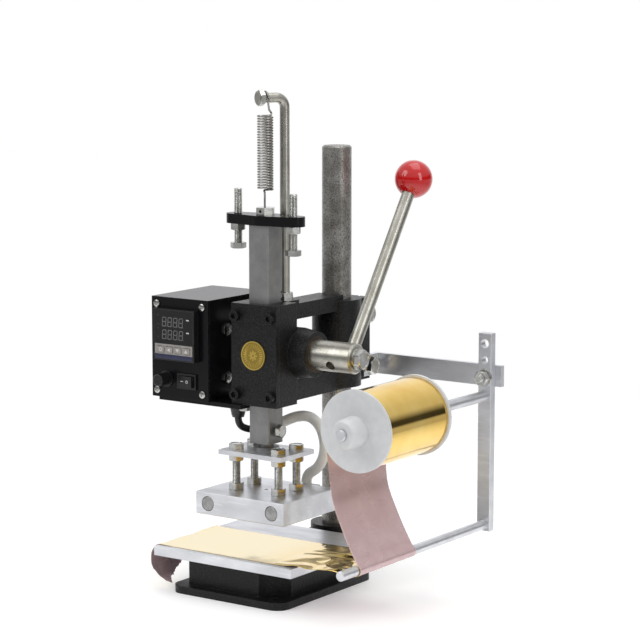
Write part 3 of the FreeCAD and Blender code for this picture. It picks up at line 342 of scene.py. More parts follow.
def foil_back():
    """Lacquered pink-mauve back of the film."""
    look = Look("foil_mauve_back")
    cloud = look.noise(16.0, 3.0)
    crease = look.noise(24.0, 2.0, (1, 0.5, 1))
    look.colour(look.ramp(cloud, (0.60, 0.42, 0.43), (0.68, 0.50, 0.51)))
    look.roughness(look.ramp(crease, 0.22, 0.32))
    look.normal(look.bump(crease, 0.2))
    look.set(Metallic=0.35)
    return look


def translucent(name, colour, shade, depth_mm, passing, rough):
    """Milky plastic or rubber with light scattered inside it."""
    look = Look(name)
    cloud = look.noise(9.0, 3.0)
    fine = look.noise(0.8, 3.0)
    rounded, _ = look.edges(0.5)
    look.colour(look.ramp(cloud, shade, colour))
    look.roughness(look.ramp(fine, rough, rough + 0.1))
    look.normal(look.bump(fine, 0.02, rounded))
    look.set(Subsurface_Weight=0.35, Subsurface_Radius=(depth_mm * MM,) * 3, Transmission_Weight=passing)
    return look


def make_finishes():
    """One material for each slot of the record."""
    # In each surface() call the colour after the blotch size is the edge colour: partly wear, partly painted
    # highlight.
    looks = {
        "cast_iron_black": painted_cast_iron(),
        "sheet_black": surface("satin_black_sheet", (0.003, 0.003, 0.004), (0.005, 0.005, 0.006), (0.20, 0.28),
                               0.35, 0.006, 25.0, (0.09, 0.09, 0.10), 0.35, Specular_IOR_Level=0.22),
        "ground_steel": speckled_steel(),
        "ram_steel": surface("brushed_ram_steel", grey(0.23), grey(0.32), (0.36, 0.50), 0.5, 0.02, 16.0,
                             grey(0.5), 0.5, (1, 1, 0.03), Metallic=0.75),
        "zinc": surface("bright_zinc", (0.42, 0.42, 0.39), (0.66, 0.66, 0.65), (0.14, 0.26), 0.9, 0.008, 5.0,
                        grey(0.85), 0.2, Metallic=1.0),
        "black_oxide": surface("black_oxide_steel", grey(0.008), grey(0.018), (0.28, 0.42), 0.6, 0.015, 6.0,
                               grey(0.22), 0.35, Metallic=0.55),
        "spring_steel": surface("spring_wire", (0.26, 0.255, 0.24), (0.42, 0.41, 0.39), (0.20, 0.32), 0.6,
                                0.008, 5.0, None, 0.2, Metallic=1.0),
        "milled_aluminium": milled_aluminium(),
        "heater_steel": surface("heater_sheath", grey(0.25), grey(0.42), (0.30, 0.45), 0.5, 0.02, 5.0,
                                grey(0.6), 0.4, Metallic=0.9),
        "red_ball": surface("glossy_red_knob", (0.50, 0.004, 0.006), (0.60, 0.008, 0.010), (0.10, 0.15), 2.5,
                            0.02, 20.0, None, 0.5, Coat_Weight=0.5, Coat_Roughness=0.05),
        "black_plastic": surface("moulded_black_plastic", grey(0.005), (0.009, 0.009, 0.010), (0.26, 0.38),
                                 0.5, 0.012, 12.0, grey(0.06), 0.3),
        "key_grey": surface("key_rubber", (0.27, 0.25, 0.235), (0.33, 0.31, 0.295), (0.5, 0.6), 0.4, 0.008,
                            4.0, None, 0.3),
        "window_smoke": surface("smoked_window", grey(0.004), grey(0.006), (0.05, 0.09), 5.0, 0.004, 20.0, None,
                                0.2),
        "emblem_brass": stamped_brass(),
        "bush_bronze": surface("sintered_bronze", (0.06, 0.042, 0.026), (0.10, 0.072, 0.045), (0.40, 0.55),
                               0.6, 0.02, 5.0, (0.20, 0.15, 0.09), 0.3, Metallic=0.8),
        "nylon_white": translucent("milky_nylon", (0.86, 0.87, 0.88), (0.78, 0.79, 0.81), 5.0, 0.22, 0.30),
        "card_core": surface("grey_card", (0.30, 0.22, 0.14), (0.42, 0.32, 0.2), (0.7, 0.85), 0.7, 0.05, 6.0),
        "silicone_sleeve": translucent("silicone_rubber", (0.93, 0.94, 0.93), (0.87, 0.88, 0.87), 3.0, 0.05,
                                       0.38),
        "relay_grey": surface("relay_housing", grey(0.35), grey(0.42), (0.35, 0.45), 0.6, 0.01, 8.0),
        "gold_foil": roll_gold(),
    }
    return {slot: look.material for slot, look in looks.items()}


FINISH = make_finishes()
BRIGHT_BARS = ("pinion_shaft", "lever_rod", "spring_rod")


def dress_cad_nodes():
    """Gives every carried-over CAD node the material of its slot."""
    bars = bright_steel().material
    for part in frame["record"]["subparts"]:
        obj = frame["nodes"][part["node"]]
        slot = part["material_slot"]
        obj.data.materials.clear()
        obj.data.materials.append(bars if part["node"] in BRIGHT_BARS else FINISH[slot])
        obj.data.set_sharp_from_angle(angle=math.radians(28))


# ---- mesh helpers, in millimetres
def at(point, axis=UP):
    """Places a shape made along +Z at a point, with its axis turned the shortest way."""
    turn = UP.rotation_difference(Vector(axis)).to_matrix().to_4x4()
    return Matrix.Translation(Vector(point)) @ turn


def smooth(value, start, end):
    """0 at start, 1 at end, and soft between; start may be the larger."""
    t = min(1.0, max(0.0, (value - start) / (end - start)))
    return t * t * (3 - 2 * t)


def rings(mesh, rows, where, close_start=False, close_end=False):
    """Skins a list of closed rows of points, in the local frame of where."""
    made = [[mesh.verts.new(where @ Vector(point)) for point in row] for row in rows]
    for low, high in zip(made, made[1:]):
        for index, vertex in enumerate(low):
            after = (index + 1) % len(low)
            mesh.faces.new((vertex, low[after], high[after], high[index]))
    if close_start:
        mesh.faces.new(made[0][::-1])
    if close_end:
        mesh.faces.new(made[-1])
    return made


def circle(radius, z, count):
    return [(radius * math.cos(a), radius * math.sin(a), z)
            for a in (2 * math.pi * i / count for i in range(count))]


def lathe(mesh, profile, where, count=48):
    """Turned body from (radius, z) points, closed at both ends."""
    rings(mesh, [circle(radius, z, count) for radius, z in profile], where, True, True)


def washer(mesh, inner, outer, thick, where):
    """Plain washer with eased outer edges."""
    ease = 0.2
    lathe(mesh, [(inner, 0), (outer - ease, 0), (outer, ease), (outer, thick - ease), (outer - ease, thick),
                 (inner, thick)], where)


def flat_ring(mesh, inner, outer, height, where):
    """Raised ring, for a mark on a face."""
    corners = ((inner, 0), (inner, height), (outer, height), (outer, 0), (inner, 0))
    rings(mesh, [circle(radius, z, 28) for radius, z in corners], where)


def hexagon(mesh, corner, height, where, low_chamfer=True, high_chamfer=True, crown=0.0):
    """Hexagonal head or nut with turned chamfers that leave arcs on its flats."""
    count = 72
    apothem = corner * math.cos(math.pi / 6)
    face_r, longest = apothem * 0.96, corner * 0.985
    slope = math.tan(math.radians(30))
    low, high = [], []
    for index in range(count):
        angle = 2 * math.pi * index / count
        radius = min(apothem / math.cos(angle % (math.pi / 3) - math.pi / 6), longest)
        x, y = radius * math.cos(angle), radius * math.sin(angle)
        drop = (radius - face_r) * slope
        low.append((x, y, drop if low_chamfer else 0.0))
        high.append((x, y, height - (drop if high_chamfer else 0.0)))
    rows = [circle(face_r, 0.0, count)] if low_chamfer else []
    rows += [low, high]
    if high_chamfer:
        rows.append(circle(face_r, height, count))
        if crown:
            rows += [circle(face_r * 0.88, height, count), circle(face_r * 0.84, height - crown, count)]
    rings(mesh, rows, where, True, True)


def thread(mesh, radius, length, pitch, where):
    """Screw thread cut into a rod, with a chamfered free end at z = length."""
    per_turn, count, chamfer = 6, 20, 0.9
    depth = 0.55 * pitch
    steps = max(2, int(length / pitch * per_turn))
    rows = []
    for row in range(steps + 1):
        z = length * row / steps
        limit = radius - max(0.0, chamfer - (length - z)) * chamfer
        ring = []
        for index in range(count):
            turn = index / count
            phase = (z / pitch - turn) % 1.0
            groove = min(1.0, max(0.0, 2.6 * abs(phase - 0.5) - 0.2))
            r = min(radius - depth * groove, limit)
            ring.append((r * math.cos(2 * math.pi * turn), r * math.sin(2 * math.pi * turn), z))
        rows.append(ring)
    rings(mesh, rows, where, True, True)


def relief_disc(mesh, radius, height, where, shape, ring_count, count, foot=0.0):
    """Disc whose face height is height + shape(x, y); foot is how far its side runs down."""
    rows = []
    for ring in range(ring_count, 0, -1):
        r = radius * ring / ring_count
        rows.append([(x, y, height + shape(x, y)) for x, y, _ in circle(r, 0, count)])
    rows.insert(0, circle(radius, -foot, count))
    made = rings(mesh, rows, where, True)
    centre = mesh.verts.new(where @ Vector((0, 0, height + shape(0, 0))))
    last = made[-1]
    for index, vertex in enumerate(last):
        mesh.faces.new((vertex, last[(index + 1) % count], centre))


def block(mesh, low, high):
    """Thin box from corner to corner with eased edges."""
    low, high = Vector(low), Vector(high)
    made = bmesh.ops.create_cube(mesh, size=1.0)["verts"]
    for vertex in made:
        vertex.co = Vector((a + (b - a) * (c + 0.5) for a, b, c in zip(low, high, vertex.co)))
    ease = min(high - low) * 0.25
    edges = {edge for vertex in made for edge in vertex.link_edges}
    bmesh.ops.bevel(mesh, geom=list(edges), offset=ease, segments=2, affect="EDGES", profile=0.5)


def prism(mesh, outline, y_front, y_back):
    """Flat shape in the XZ plane, from its outline, between two Y planes."""
    front = [mesh.verts.new((x, y_front, z)) for x, z in outline]
    back = [mesh.verts.new((x, y_back, z)) for x, z in outline]
    mesh.faces.new(front)
    mesh.faces.new(back[::-1])
    for index in range(len(outline)):
        after = (index + 1) % len(outline)
        mesh.faces.new((front[after], front[index], back[index], back[after]))


def tube(mesh, points, radius, count):
    """Round tube along points, without twist and closed at both ends; returns its rows of vertices."""
    points = [Vector(p) for p in points]
    side = None
    rows = []
    for index, point in enumerate(points):
        along = (points[min(index + 1, len(points) - 1)] - points[max(index - 1, 0)]).normalized()
        if side is None:
            side = along.orthogonal().normalized()
        side = (side - along * side.dot(along)).normalized()
        other = along.cross(side)
        rows.append([point + (side * math.cos(a) + other * math.sin(a)) * radius
                     for a in (2 * math.pi * i / count for i in range(count))])
    return rings(mesh, rows, Matrix.Identity(4), True, True)


def finish_mesh(mesh, name, materials, sharp=30.0, scale=MM):
    """Turns a bmesh into an object in metres; faces bend smoothly below the sharp angle."""
    bmesh.ops.transform(mesh, matrix=Matrix.Scale(scale, 4), verts=mesh.verts)
    bmesh.ops.recalc_face_normals(mesh, faces=mesh.faces)
    data = bpy.data.meshes.new(name)
    mesh.to_mesh(data)
    mesh.free()
    for material in materials:
        data.materials.append(material)
    data.shade_smooth()
    data.set_sharp_from_angle(angle=math.radians(sharp))
    obj = bpy.data.objects.new(name, data)
    bpy.context.scene.collection.objects.link(obj)
    return obj


def piece(mesh, name, slot, body, replaced=(), material=None, sharp=30.0):
    """A finished piece that rides on a body and takes its look from a slot."""
    obj = finish_mesh(mesh, name, [material or FINISH[slot]], sharp)
    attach(obj, body)
    if replaced:
        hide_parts(*replaced)
    return obj


# ---- cord: the sleeve with the heater's leads
SLEEVE_MM = [(-36, 5, 157.2), (-36, 5, 149.5), (-31, 14, 144), (-22, 27, 144), (-11, 39, 149),
             (1, 47, 155.5), (14, 51, 156), (25, 51, 148), (31, 50, 135), (31, 49, 120), (24, 48, 107.5),
             (12, 47, 101), (12, 47, 92)]
SLEEVE_R_MM = 5.0
SLEEVE_START_X = -0.014     # to the left of this the leads have only their thinner black sheath
LEAD_SHARE = 0.68           # that sheath's diameter as a share of the sleeve's
NURBS_ORDER = 3


def spline_points(route):
    """Points of a smooth NURBS line whose control points are the route, in metres."""
    curve = bpy.data.curves.new("sleeve_line", "CURVE")
    curve.dimensions = "3D"
    curve.resolution_u = 12
    spline = curve.splines.new("NURBS")
    spline.points.add(len(route) - 1)
    for point, where in zip(spline.points, route):
        point.co = (*[value * MM for value in where], 1.0)
    spline.order_u = NURBS_ORDER
    spline.use_endpoint_u = True
    line = bpy.data.objects.new("sleeve_line", curve)
    bpy.context.scene.collection.objects.link(line)
    bpy.context.view_layer.update()
    sampled = bpy.data.meshes.new_from_object(line)
    points = [vertex.co.copy() for vertex in sampled.vertices]
    bpy.data.objects.remove(line)
    return points


def make_sleeve():
    """Silicone sleeve from the gland to the heat block."""
    path = spline_points(SLEEVE_MM)
    mesh = bmesh.new()
    rows = tube(mesh, [point / MM for point in path], SLEEVE_R_MM, 24)
    for row, point in zip(rows, path):
        thin = 1 - (1 - LEAD_SHARE) * smooth(point.x, SLEEVE_START_X, SLEEVE_START_X - 0.001)
        for vertex in row:
            vertex.co = point / MM + (vertex.co - point / MM) * thin
    obj = finish_mesh(mesh, "lead_sleeve", [FINISH["silicone_sleeve"]])
    obj.data.materials.append(FINISH["black_plastic"])
    for face in obj.data.polygons:
        face.material_index = int(face.center.x < SLEEVE_START_X)
    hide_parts("wire_sleeve")
    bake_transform(obj)


make_sleeve()
dress_cad_nodes()


# ---- return spring
def make_spring():
    """Extension spring: close coil, a bent leg and hook at the screw, and a loop over the rod."""
    radius, wire_r, turns, low, high = 6.6, 0.95, 28, 371.4, 438.6
    hook_low, hook_high = 351.6, 454.0
    # Lower leg: down into the eye screw on the axis, from a last open turn of the coil.
    points = [(0.0, 1.3, hook_low - 0.6), (0.0, 0.0, hook_low - 1.2), (0.0, -1.0, hook_low + 0.4),
              (0.2, -1.3, hook_low + 8.0), (0.1, -1.0, hook_low + 14.5), (-0.8, -0.2, low - 2.6),
              (-2.8, 1.6, low - 1.6), (-3.6, 3.9, low - 1.2), (-1.4, 5.9, low - 0.9), (2.4, 5.9, low - 0.5),
              (5.6, 3.4, low - 0.2)]
    steps_per_turn = 20
    steps = turns * steps_per_turn
    for step in range(steps + 1):
        a = 2 * math.pi * turns * step / steps
        points.append((radius * math.cos(a), radius * math.sin(a), low + (high - low) * step / steps))
    # Upper loop: a round hook over the end of the rod.
    across = Vector((19, -8, 0)).normalized()
    points += [(5.9, 1.6, high + 1.8), (across * 4.6 + Vector((1.0, 0.6, high + 5.0)))]
    loop = 6.6
    for degrees in range(-35, 216, 15):
        a = math.radians(degrees)
        points.append(across * (loop * math.cos(a)) + Vector((0, 0, hook_high + loop * math.sin(a) - 0.9)))
    mesh = bmesh.new()
    tube(mesh, points, wire_r, 12)
    obj = finish_mesh(mesh, "coiled_return_spring", [FINISH["spring_steel"]])
    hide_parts("return_spring")
    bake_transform(obj)


make_spring()


# ---- bolts and nuts
# Across the corners is twice the corner radius; M8 and M10 are the threads of the visible bolts.
M6_R, M6_PITCH, M6_CORNER, M6_HEAD = 3.0, 1.0, 6.4, 5
M8_R, M8_PITCH, M8_CORNER, M8_HEAD, M8_NUT = 4.0, 1.25, 7.5, 5.3, 6.5
M10_R, M10_PITCH, M10_CORNER, M10_HEAD, M10_NUT = 5.0, 1.5, 8.6, 6.4, 8
RAM_TOP, PLATE_LOW, PLATE_HIGH, BLOCK_TOP = 339.3, 127.0, 131.3, 93.5
THREAD_IN_BLOCK = 11
LEVEL_SPOTS = [(x, y) for x in (-24, 24) for y in (-14, 14)]
ROD_IN = Vector((-8, -19, 0)).normalized()      # from the spring rod's bend to its free end
COLLAR_BOLT_Y = 144.5
UPRIGHT_X, UPRIGHT_Z = 142, 191
LEVER_Y, LEVER_Z = 21.85, 220.5                 # axis of the pinion shaft


def make_ram_bolts():
    """Stop bolts with their lock nuts, and the plate's four levelling bolts with two nuts each."""
    bolts, nuts = bmesh.new(), bmesh.new()
    for x, low, top in ((-31, 316.0, 371.0), (31, 312.5, 368.5)):
        hexagon(bolts, M8_CORNER, M8_HEAD, at((x, 0, low + M8_HEAD), -UP), False, True, 0.35)
        thread(bolts, M8_R, top - low - M8_HEAD, M8_PITCH, at((x, 0, low + M8_HEAD)))
        hexagon(nuts, M8_CORNER, M8_NUT, at((x, 0, RAM_TOP - M8_NUT)))
    piece(bolts, "stop_bolts_threaded", "zinc", "ram", ("stop_bolts",))
    levels = bmesh.new()
    for x, y in LEVEL_SPOTS:
        hexagon(levels, M8_CORNER, M8_HEAD, at((x, y, PLATE_HIGH)), False, True, 0.35)
        thread(levels, M8_R, PLATE_HIGH - BLOCK_TOP + THREAD_IN_BLOCK, M8_PITCH, at((x, y, PLATE_HIGH), -UP))
        for z in (BLOCK_TOP, PLATE_LOW - M8_NUT):
            hexagon(nuts, M8_CORNER, M8_NUT, at((x, y, z)))
    piece(levels, "levelling_bolts_threaded", "zinc", "ram", ("levelling_bolts",))
    piece(nuts, "lock_nuts_chamfered", "zinc", "ram", ("lock_nuts",))
    clamp = bmesh.new()
    seat = (14, 0, 150)
    hexagon(clamp, M6_CORNER, M6_HEAD, at(seat, RIGHT), False, True, 0.3)
    thread(clamp, M6_R, 7, M6_PITCH, at(seat, -RIGHT))
    piece(clamp, "ram_clamp_screw_head", "zinc", "ram", ("ram_clamp_screw",))


def make_head_bolts():
    """Collar bolts, spring rod nuts, the foil arm's bolt, washer and nut, and the lever's lock bolt."""
    bolts, nuts = bmesh.new(), bmesh.new()
    washer_thick, ear_left, ear_right, ears = 1.5, -20, 12, 24
    for z, grip in ((192.0, 5.0), (242.0, 0.0)):
        head_x = ear_right + grip + washer_thick
        hexagon(bolts, M10_CORNER, M10_HEAD, at((head_x, COLLAR_BOLT_Y, z), RIGHT), False, True, 0.4)
        thread(bolts, M10_R, ears + grip + 11.5, M10_PITCH, at((head_x, COLLAR_BOLT_Y, z), -RIGHT))
        washer(nuts, 5.2, 9.6, washer_thick, at((ear_right + grip, COLLAR_BOLT_Y, z), RIGHT))
        hexagon(nuts, M10_CORNER, M10_NUT, at((ear_left, COLLAR_BOLT_Y, z), RIGHT))
    piece(bolts, "collar_bolts_threaded", "zinc", "head", ("clamp_bolts",))
    piece(nuts, "collar_nuts_chamfered", "zinc", "head", ("clamp_nuts_and_washers",))
    rod_nuts = bmesh.new()
    hexagon(rod_nuts, 8.1, 8, at((8, 19, 268)))
    hexagon(rod_nuts, 7.6, 5, at(ROD_IN * 2.5 + Vector((0, 0, 454)), ROD_IN))
    piece(rod_nuts, "spring_rod_nuts_chamfered", "zinc", "head", ("spring_rod_nuts",))
    joint = bmesh.new()
    hexagon(joint, M8_CORNER, M8_HEAD, at((UPRIGHT_X, 165, UPRIGHT_Z), BACK), False, True, 0.35)
    thread(joint, M8_R, 25, M8_PITCH, at((UPRIGHT_X, 165, UPRIGHT_Z), -BACK))
    washer(joint, 4.1, 8.3, 1.4, at((UPRIGHT_X, 152, UPRIGHT_Z), -BACK))
    hexagon(joint, M8_CORNER, M8_NUT, at((UPRIGHT_X, 150.6, UPRIGHT_Z), -BACK))
    piece(joint, "upright_bolt_threaded", "zinc", "head", ("upright_bolt_set",))
    lock = bmesh.new()
    shaft_end = 86
    washer(lock, 0.5, 9.9, 1.5, at((shaft_end, LEVER_Y, LEVER_Z), RIGHT))
    hexagon(lock, 9.6, 6.5, at((shaft_end + 1.5, LEVER_Y, LEVER_Z), RIGHT), False, True, 0.45)
    thread(lock, M10_R, 1.4, M10_PITCH, at((shaft_end, LEVER_Y, LEVER_Z), -RIGHT))
    piece(lock, "lever_lock_bolt_chamfered", "zinc", "lever", ("lever_lock_bolt",))


def cross_recess(head_r, height, depth):
    """Height of a pan head with a cross recess, as a function of x and y."""
    arm, half = head_r * 0.52, head_r * 0.13

    def shape(x, y):
        r = math.hypot(x, y)
        dome = -0.32 * height * (r / head_r) ** 2
        inside = (abs(x) < half and abs(y) < arm) or (abs(y) < half and abs(x) < arm) or r < half * 1.5
        return dome - (depth if inside else 0.0)

    return shape


def make_box_screws():
    """Cross-recess screws of the front panel and of the box's side, and two hex screws below the bracket."""
    panel = bmesh.new()
    for x in (-105.5, -52.5):
        for z in (180.7, 262.0):
            # Each recess is turned by its own angle, as screws are.
            where = at((x, -27, z), FRONT) @ Matrix.Rotation(math.radians(35 + x + z), 4, "Z")
            relief_disc(panel, 3.3, 2.0, where, cross_recess(3.3, 2.0, 0.8), 14, 48)
    piece(panel, "panel_screws_cross_recess", "zinc", "head", ("panel_screws",), sharp=24.0)
    sides = bmesh.new()
    for z in (194.0, 239.0):
        where = at((-46, 1, z), RIGHT) @ Matrix.Rotation(math.radians(z), 4, "Z")
        relief_disc(sides, 5.6, 2.4, where, cross_recess(5.6, 2.4, 1.0), 16, 60)
    for y in (-8, 14):
        hexagon(sides, 5.2, 3.5, at((-18.5, y, 170.2), -UP), False, True, 0.2)
    piece(sides, "box_screws_cross_recess", "zinc", "head", ("box_screws",), sharp=24.0)


# ---- lever knob and emblem
LEVER_LEAN = 34.1
BALL_REACH, BALL_R, BALL_SEAT_Z, BALL_SEAT_R = 187.5, 17.75, -16.25, 6.3
FLASH_LINE, FLASH_COLUMNS = 0.12, (18, 66)


def make_ball():
    """Knob turned about the lever, with a flat seat and the fine flash line of its mould."""
    lean = math.radians(LEVER_LEAN)
    along = Vector((0, math.sin(lean), math.cos(lean)))
    centre = Vector((78, LEVER_Y, LEVER_Z)) + along * BALL_REACH
    count, row_count = 96, 49
    rows = [circle(BALL_SEAT_R, BALL_SEAT_Z, count)]
    start = math.asin(BALL_SEAT_Z / BALL_R)
    for row in range(row_count):
        a = start + (math.pi / 2 - start) * row / row_count
        ring = []
        for index, (x, y, z) in enumerate(circle(BALL_R * math.cos(a), BALL_R * math.sin(a), count)):
            grow = 1 + (FLASH_LINE / BALL_R if index in FLASH_COLUMNS else 0)
            ring.append((x * grow, y * grow, z * grow))
        rows.append(ring)
    mesh = bmesh.new()
    made = rings(mesh, rows, at(centre, along), True)
    top = mesh.verts.new(at(centre, along) @ Vector((0, 0, BALL_R)))
    for index, vertex in enumerate(made[-1]):
        mesh.faces.new((vertex, made[-1][(index + 1) % count], top))
    piece(mesh, "lever_ball_moulded", "red_ball", "lever", ("ball_knob",), sharp=50.0)


EMBLEM_R, RIM_R, RAYS_IN, RAYS_OUT, ROSETTE_R, EYE_R = 13.3, 12.2, 7.4, 10.8, 6.0, 1.2
RAY_COUNT, RELIEF = 30, 0.3


def emblem_height(x, y):
    """Raised rim, a ring of rays and a plain rosette: a generic ornament."""
    r, a = math.hypot(x, y), math.atan2(y, x)
    if r > RIM_R:
        return RELIEF + 0.05
    if RAYS_IN < r < RAYS_OUT:
        return RELIEF * max(0.0, math.cos(RAY_COUNT * a)) - 0.02
    if r < ROSETTE_R:
        petal = 2.4 + 2.6 * abs(math.cos(4 * a))
        return RELIEF if EYE_R < r < petal else 0.0
    return 0.0


def make_emblem():
    mesh = bmesh.new()
    relief_disc(mesh, EMBLEM_R, 0.85, at((0, -19, 221), FRONT), emblem_height, 44, 240)
    piece(mesh, "emblem_disc_relief", "emblem_brass", "head", ("emblem_disc",), sharp=40.0)


# ---- control panel
PANEL_FRONT = -34.0         # front of the controller's bezel
MARK_BACK = PANEL_FRONT + 0.1
STRIP_LEFT, STRIP_RIGHT, STRIP_LOW, STRIP_HIGH = -103, -59, 216.2, 225.7
KEY_X, KEY_Z, KEY_HALF, KEY_FRONT = (-96, -86, -76, -66), 220.5, 4.2, -34.7


def printed(name, dark, light, rough, grain, depth, blotch):
    """Material of a small mark; such marks keep their shape only with a small edge radius."""
    return surface(name, dark, light, rough, grain, depth, blotch, round_mm=0.04).material


def make_digits():
    """Two rows of four unlit seven-segment digits and their indicator lamps."""
    unlit = printed("unlit_segment", grey(0.10), (0.16, 0.16, 0.155), (0.3, 0.4), 0.5, 0.005, 4.0)
    mesh = bmesh.new()
    wide, tall, bar, slant, gap = 4.1, 8.2, 0.85, 0.08, 0.42
    first_x, pitch, dot_r, dot_sides = -94.2, 6.5, 0.35, 12
    front = PANEL_FRONT - 0.05
    strokes = [((0, 1), (1, 1)), ((0, 0.5), (1, 0.5)), ((0, 0), (1, 0)),
               ((0, 0), (0, 0.5)), ((0, 0.5), (0, 1)), ((1, 0), (1, 0.5)), ((1, 0.5), (1, 1))]
    for z_low in (242.4, 230.6):
        for digit in range(4):
            left = first_x + pitch * digit
            for (x0, z0), (x1, z1) in strokes:
                start = Vector((left + x0 * wide + z0 * tall * slant, z_low + z0 * tall))
                end = Vector((left + x1 * wide + z1 * tall * slant, z_low + z1 * tall))
                along = (end - start).normalized()
                side = Vector((-along.y, along.x)) * bar / 2
                start, end = start + along * gap, end - along * gap
                tip = along * bar / 2
                outline = [start - tip, start + side, end + side, end + tip, end - side, start - side]
                prism(mesh, [(p.x, p.y) for p in outline[::-1]], front, MARK_BACK)
            dot = [(left + wide + 1.0 + x, z_low + z) for x, z, _ in circle(dot_r, 0, dot_sides)]
            prism(mesh, dot, front, MARK_BACK)
    piece(mesh, "display_digits", "key_grey", "head", material=unlit)
    lamps = bmesh.new()
    for z in (249.6, 237.8):
        block(lamps, (-66.0, PANEL_FRONT - 0.08, z - 0.55), (-62.8, PANEL_FRONT + 0.2, z + 0.55))
    lit = printed("indicator_lens", (0.55, 0.55, 0.54), (0.7, 0.7, 0.69), (0.3, 0.4), 0.5, 0.005, 3.0)
    piece(lamps, "indicator_lamps", "key_grey", "head", material=lit)
    faint = bmesh.new()
    for z in (252.5, 244.0, 240.0, 232.0):
        block(faint, (-99.6, PANEL_FRONT - 0.04, z - 0.6), (-98.4, PANEL_FRONT + 0.2, z + 0.6))
    dim = printed("unlit_lamp", grey(0.03), grey(0.045), (0.3, 0.4), 0.5, 0.005, 3.0)
    piece(faint, "status_lamps", "black_plastic", "head", material=dim)


def make_key_strip():
    """Printed strip round the four keys, and the darker strip under it, both without text."""
    face = PANEL_FRONT - 0.12
    key_low, key_high = 217.55, 223.45
    strip = bmesh.new()
    block(strip, (STRIP_LEFT, face, key_high), (STRIP_RIGHT, MARK_BACK, STRIP_HIGH))
    block(strip, (STRIP_LEFT, face, STRIP_LOW), (STRIP_RIGHT, MARK_BACK, key_low))
    edges = [STRIP_LEFT] + [x + side * KEY_HALF for x in KEY_X for side in (-1, 1)] + [STRIP_RIGHT]
    for left, right in zip(edges[::2], edges[1::2]):
        block(strip, (left, face, key_low), (right, MARK_BACK, key_high))
    piece(strip, "key_strip_plate", "key_grey", "head")
    lower = bmesh.new()
    block(lower, (STRIP_LEFT, face, 211.8), (STRIP_RIGHT, MARK_BACK, STRIP_LOW))
    blue = printed("dark_blue_strip", (0.018, 0.020, 0.055), (0.024, 0.027, 0.075), (0.4, 0.5), 0.4, 0.005, 6.0)
    piece(lower, "lower_strip_plate", "black_plastic", "head", material=blue)


def make_key_marks():
    """Pale generic symbols on the keys: a ring, and arrows to the left, down and up."""
    pale = printed("printed_symbol", (0.55, 0.53, 0.50), (0.62, 0.60, 0.57), (0.5, 0.6), 0.4, 0.004, 3.0)
    thick = 0.16
    ring_x, shift_x, down_x, up_x = KEY_X
    arrows = {"key_shift": (shift_x, [(-2.0, 0), (1.2, 1.9), (1.2, -1.9)]),
              "key_down": (down_x, [(0, -1.7), (-2.1, 1.5), (2.1, 1.5)]),
              "key_up": (up_x, [(0, 1.7), (2.1, -1.5), (-2.1, -1.5)])}
    for key, (x, outline) in arrows.items():
        mesh = bmesh.new()
        prism(mesh, [(x + dx, KEY_Z + dz) for dx, dz in outline], KEY_FRONT - thick, KEY_FRONT)
        piece(mesh, key + "_arrow", "key_grey", key + "_body", material=pale)
    mesh = bmesh.new()
    flat_ring(mesh, 1.1, 1.8, thick, at((ring_x, KEY_FRONT, KEY_Z), FRONT))
    piece(mesh, "key_set_ring", "key_grey", "key_set_body", material=pale)


def make_rocker_marks():
    """The switch's line and circle, on the face of the tilted rocker."""
    white = printed("switch_mark", grey(0.6), grey(0.7), (0.4, 0.5), 0.4, 0.004, 3.0)
    rest_tilt = math.radians(-8)
    turn = Matrix.Translation((-70.4, -27, 191.5)) @ Matrix.Rotation(rest_tilt, 4, "Z")
    mesh = bmesh.new()
    block(mesh, (-5.6, -3.68, -0.3), (-2.4, -3.5, 0.3))
    flat_ring(mesh, 0.95, 1.45, 0.12, at((2.6, -3.56, 0), FRONT))
    bmesh.ops.transform(mesh, matrix=turn, verts=mesh.verts)
    piece(mesh, "rocker_marks", "key_grey", "rocker", material=white)


def make_fuse_cap():
    """Knurled bayonet cap with a screwdriver slot."""
    count, groove = 96, 0.06
    face_r, face_z = 5.0, 14.0
    where = at((-94.9, -27, 192), FRONT)

    def knurled(radius, z):
        """A ring whose points sink in pairs."""
        return [(x * (1 - groove * (i % 4 < 2)), y * (1 - groove * (i % 4 < 2)), z)
                for i, (x, y, _) in enumerate(circle(radius, z, count))]

    def slot(x, y):
        return -1.4 if abs(y) < 0.75 and abs(x) < 4.0 else 0.0

    mesh = bmesh.new()
    rows = [circle(5.2, -8, count), circle(5.2, 2.0, count), circle(5.5, 2.0, count), circle(5.8, 2.4, count),
            knurled(5.8, 3.2), knurled(5.8, 12.6), circle(5.6, 13.4, count), circle(face_r, face_z, count)]
    rings(mesh, rows, where, True)
    face = bmesh.new()
    relief_disc(face, face_r, face_z, where, slot, 20, count, 0.1 - face_z)
    data = bpy.data.meshes.new("cap_face")
    face.to_mesh(data)
    mesh.from_mesh(data)
    face.free()
    bpy.data.meshes.remove(data)
    insert = bmesh.new()
    block(insert, (-3.4, -0.5, 12.7), (3.4, 0.5, 13.1))
    bmesh.ops.transform(insert, matrix=where, verts=insert.verts)
    piece(insert, "fuse_cap_slot_plate", "zinc", "fuse_cap_body")
    piece(mesh, "fuse_cap_knurled", "black_plastic", "fuse_cap_body", ("fuse_cap",), sharp=24.0)


# ---- foil web
WEB_FRONT, WEB_WIDTH, WEB_COLUMNS = -58.0, 89.0, 64
WEB_STEP = 1.3              # distance between rows of the web's mesh
FILM_THICK = 0.12
GUIDE_X, GUIDE_Z, GUIDE_CLEAR = 142.0, 50.0, 5.5
HANG_X, HANG_Z = -77.5, 43  # past these, coming from the torn end, the web lies on the table
FLAT_Z = 43.25              # the web's line on the table, clear of the block at the bottom of its stroke


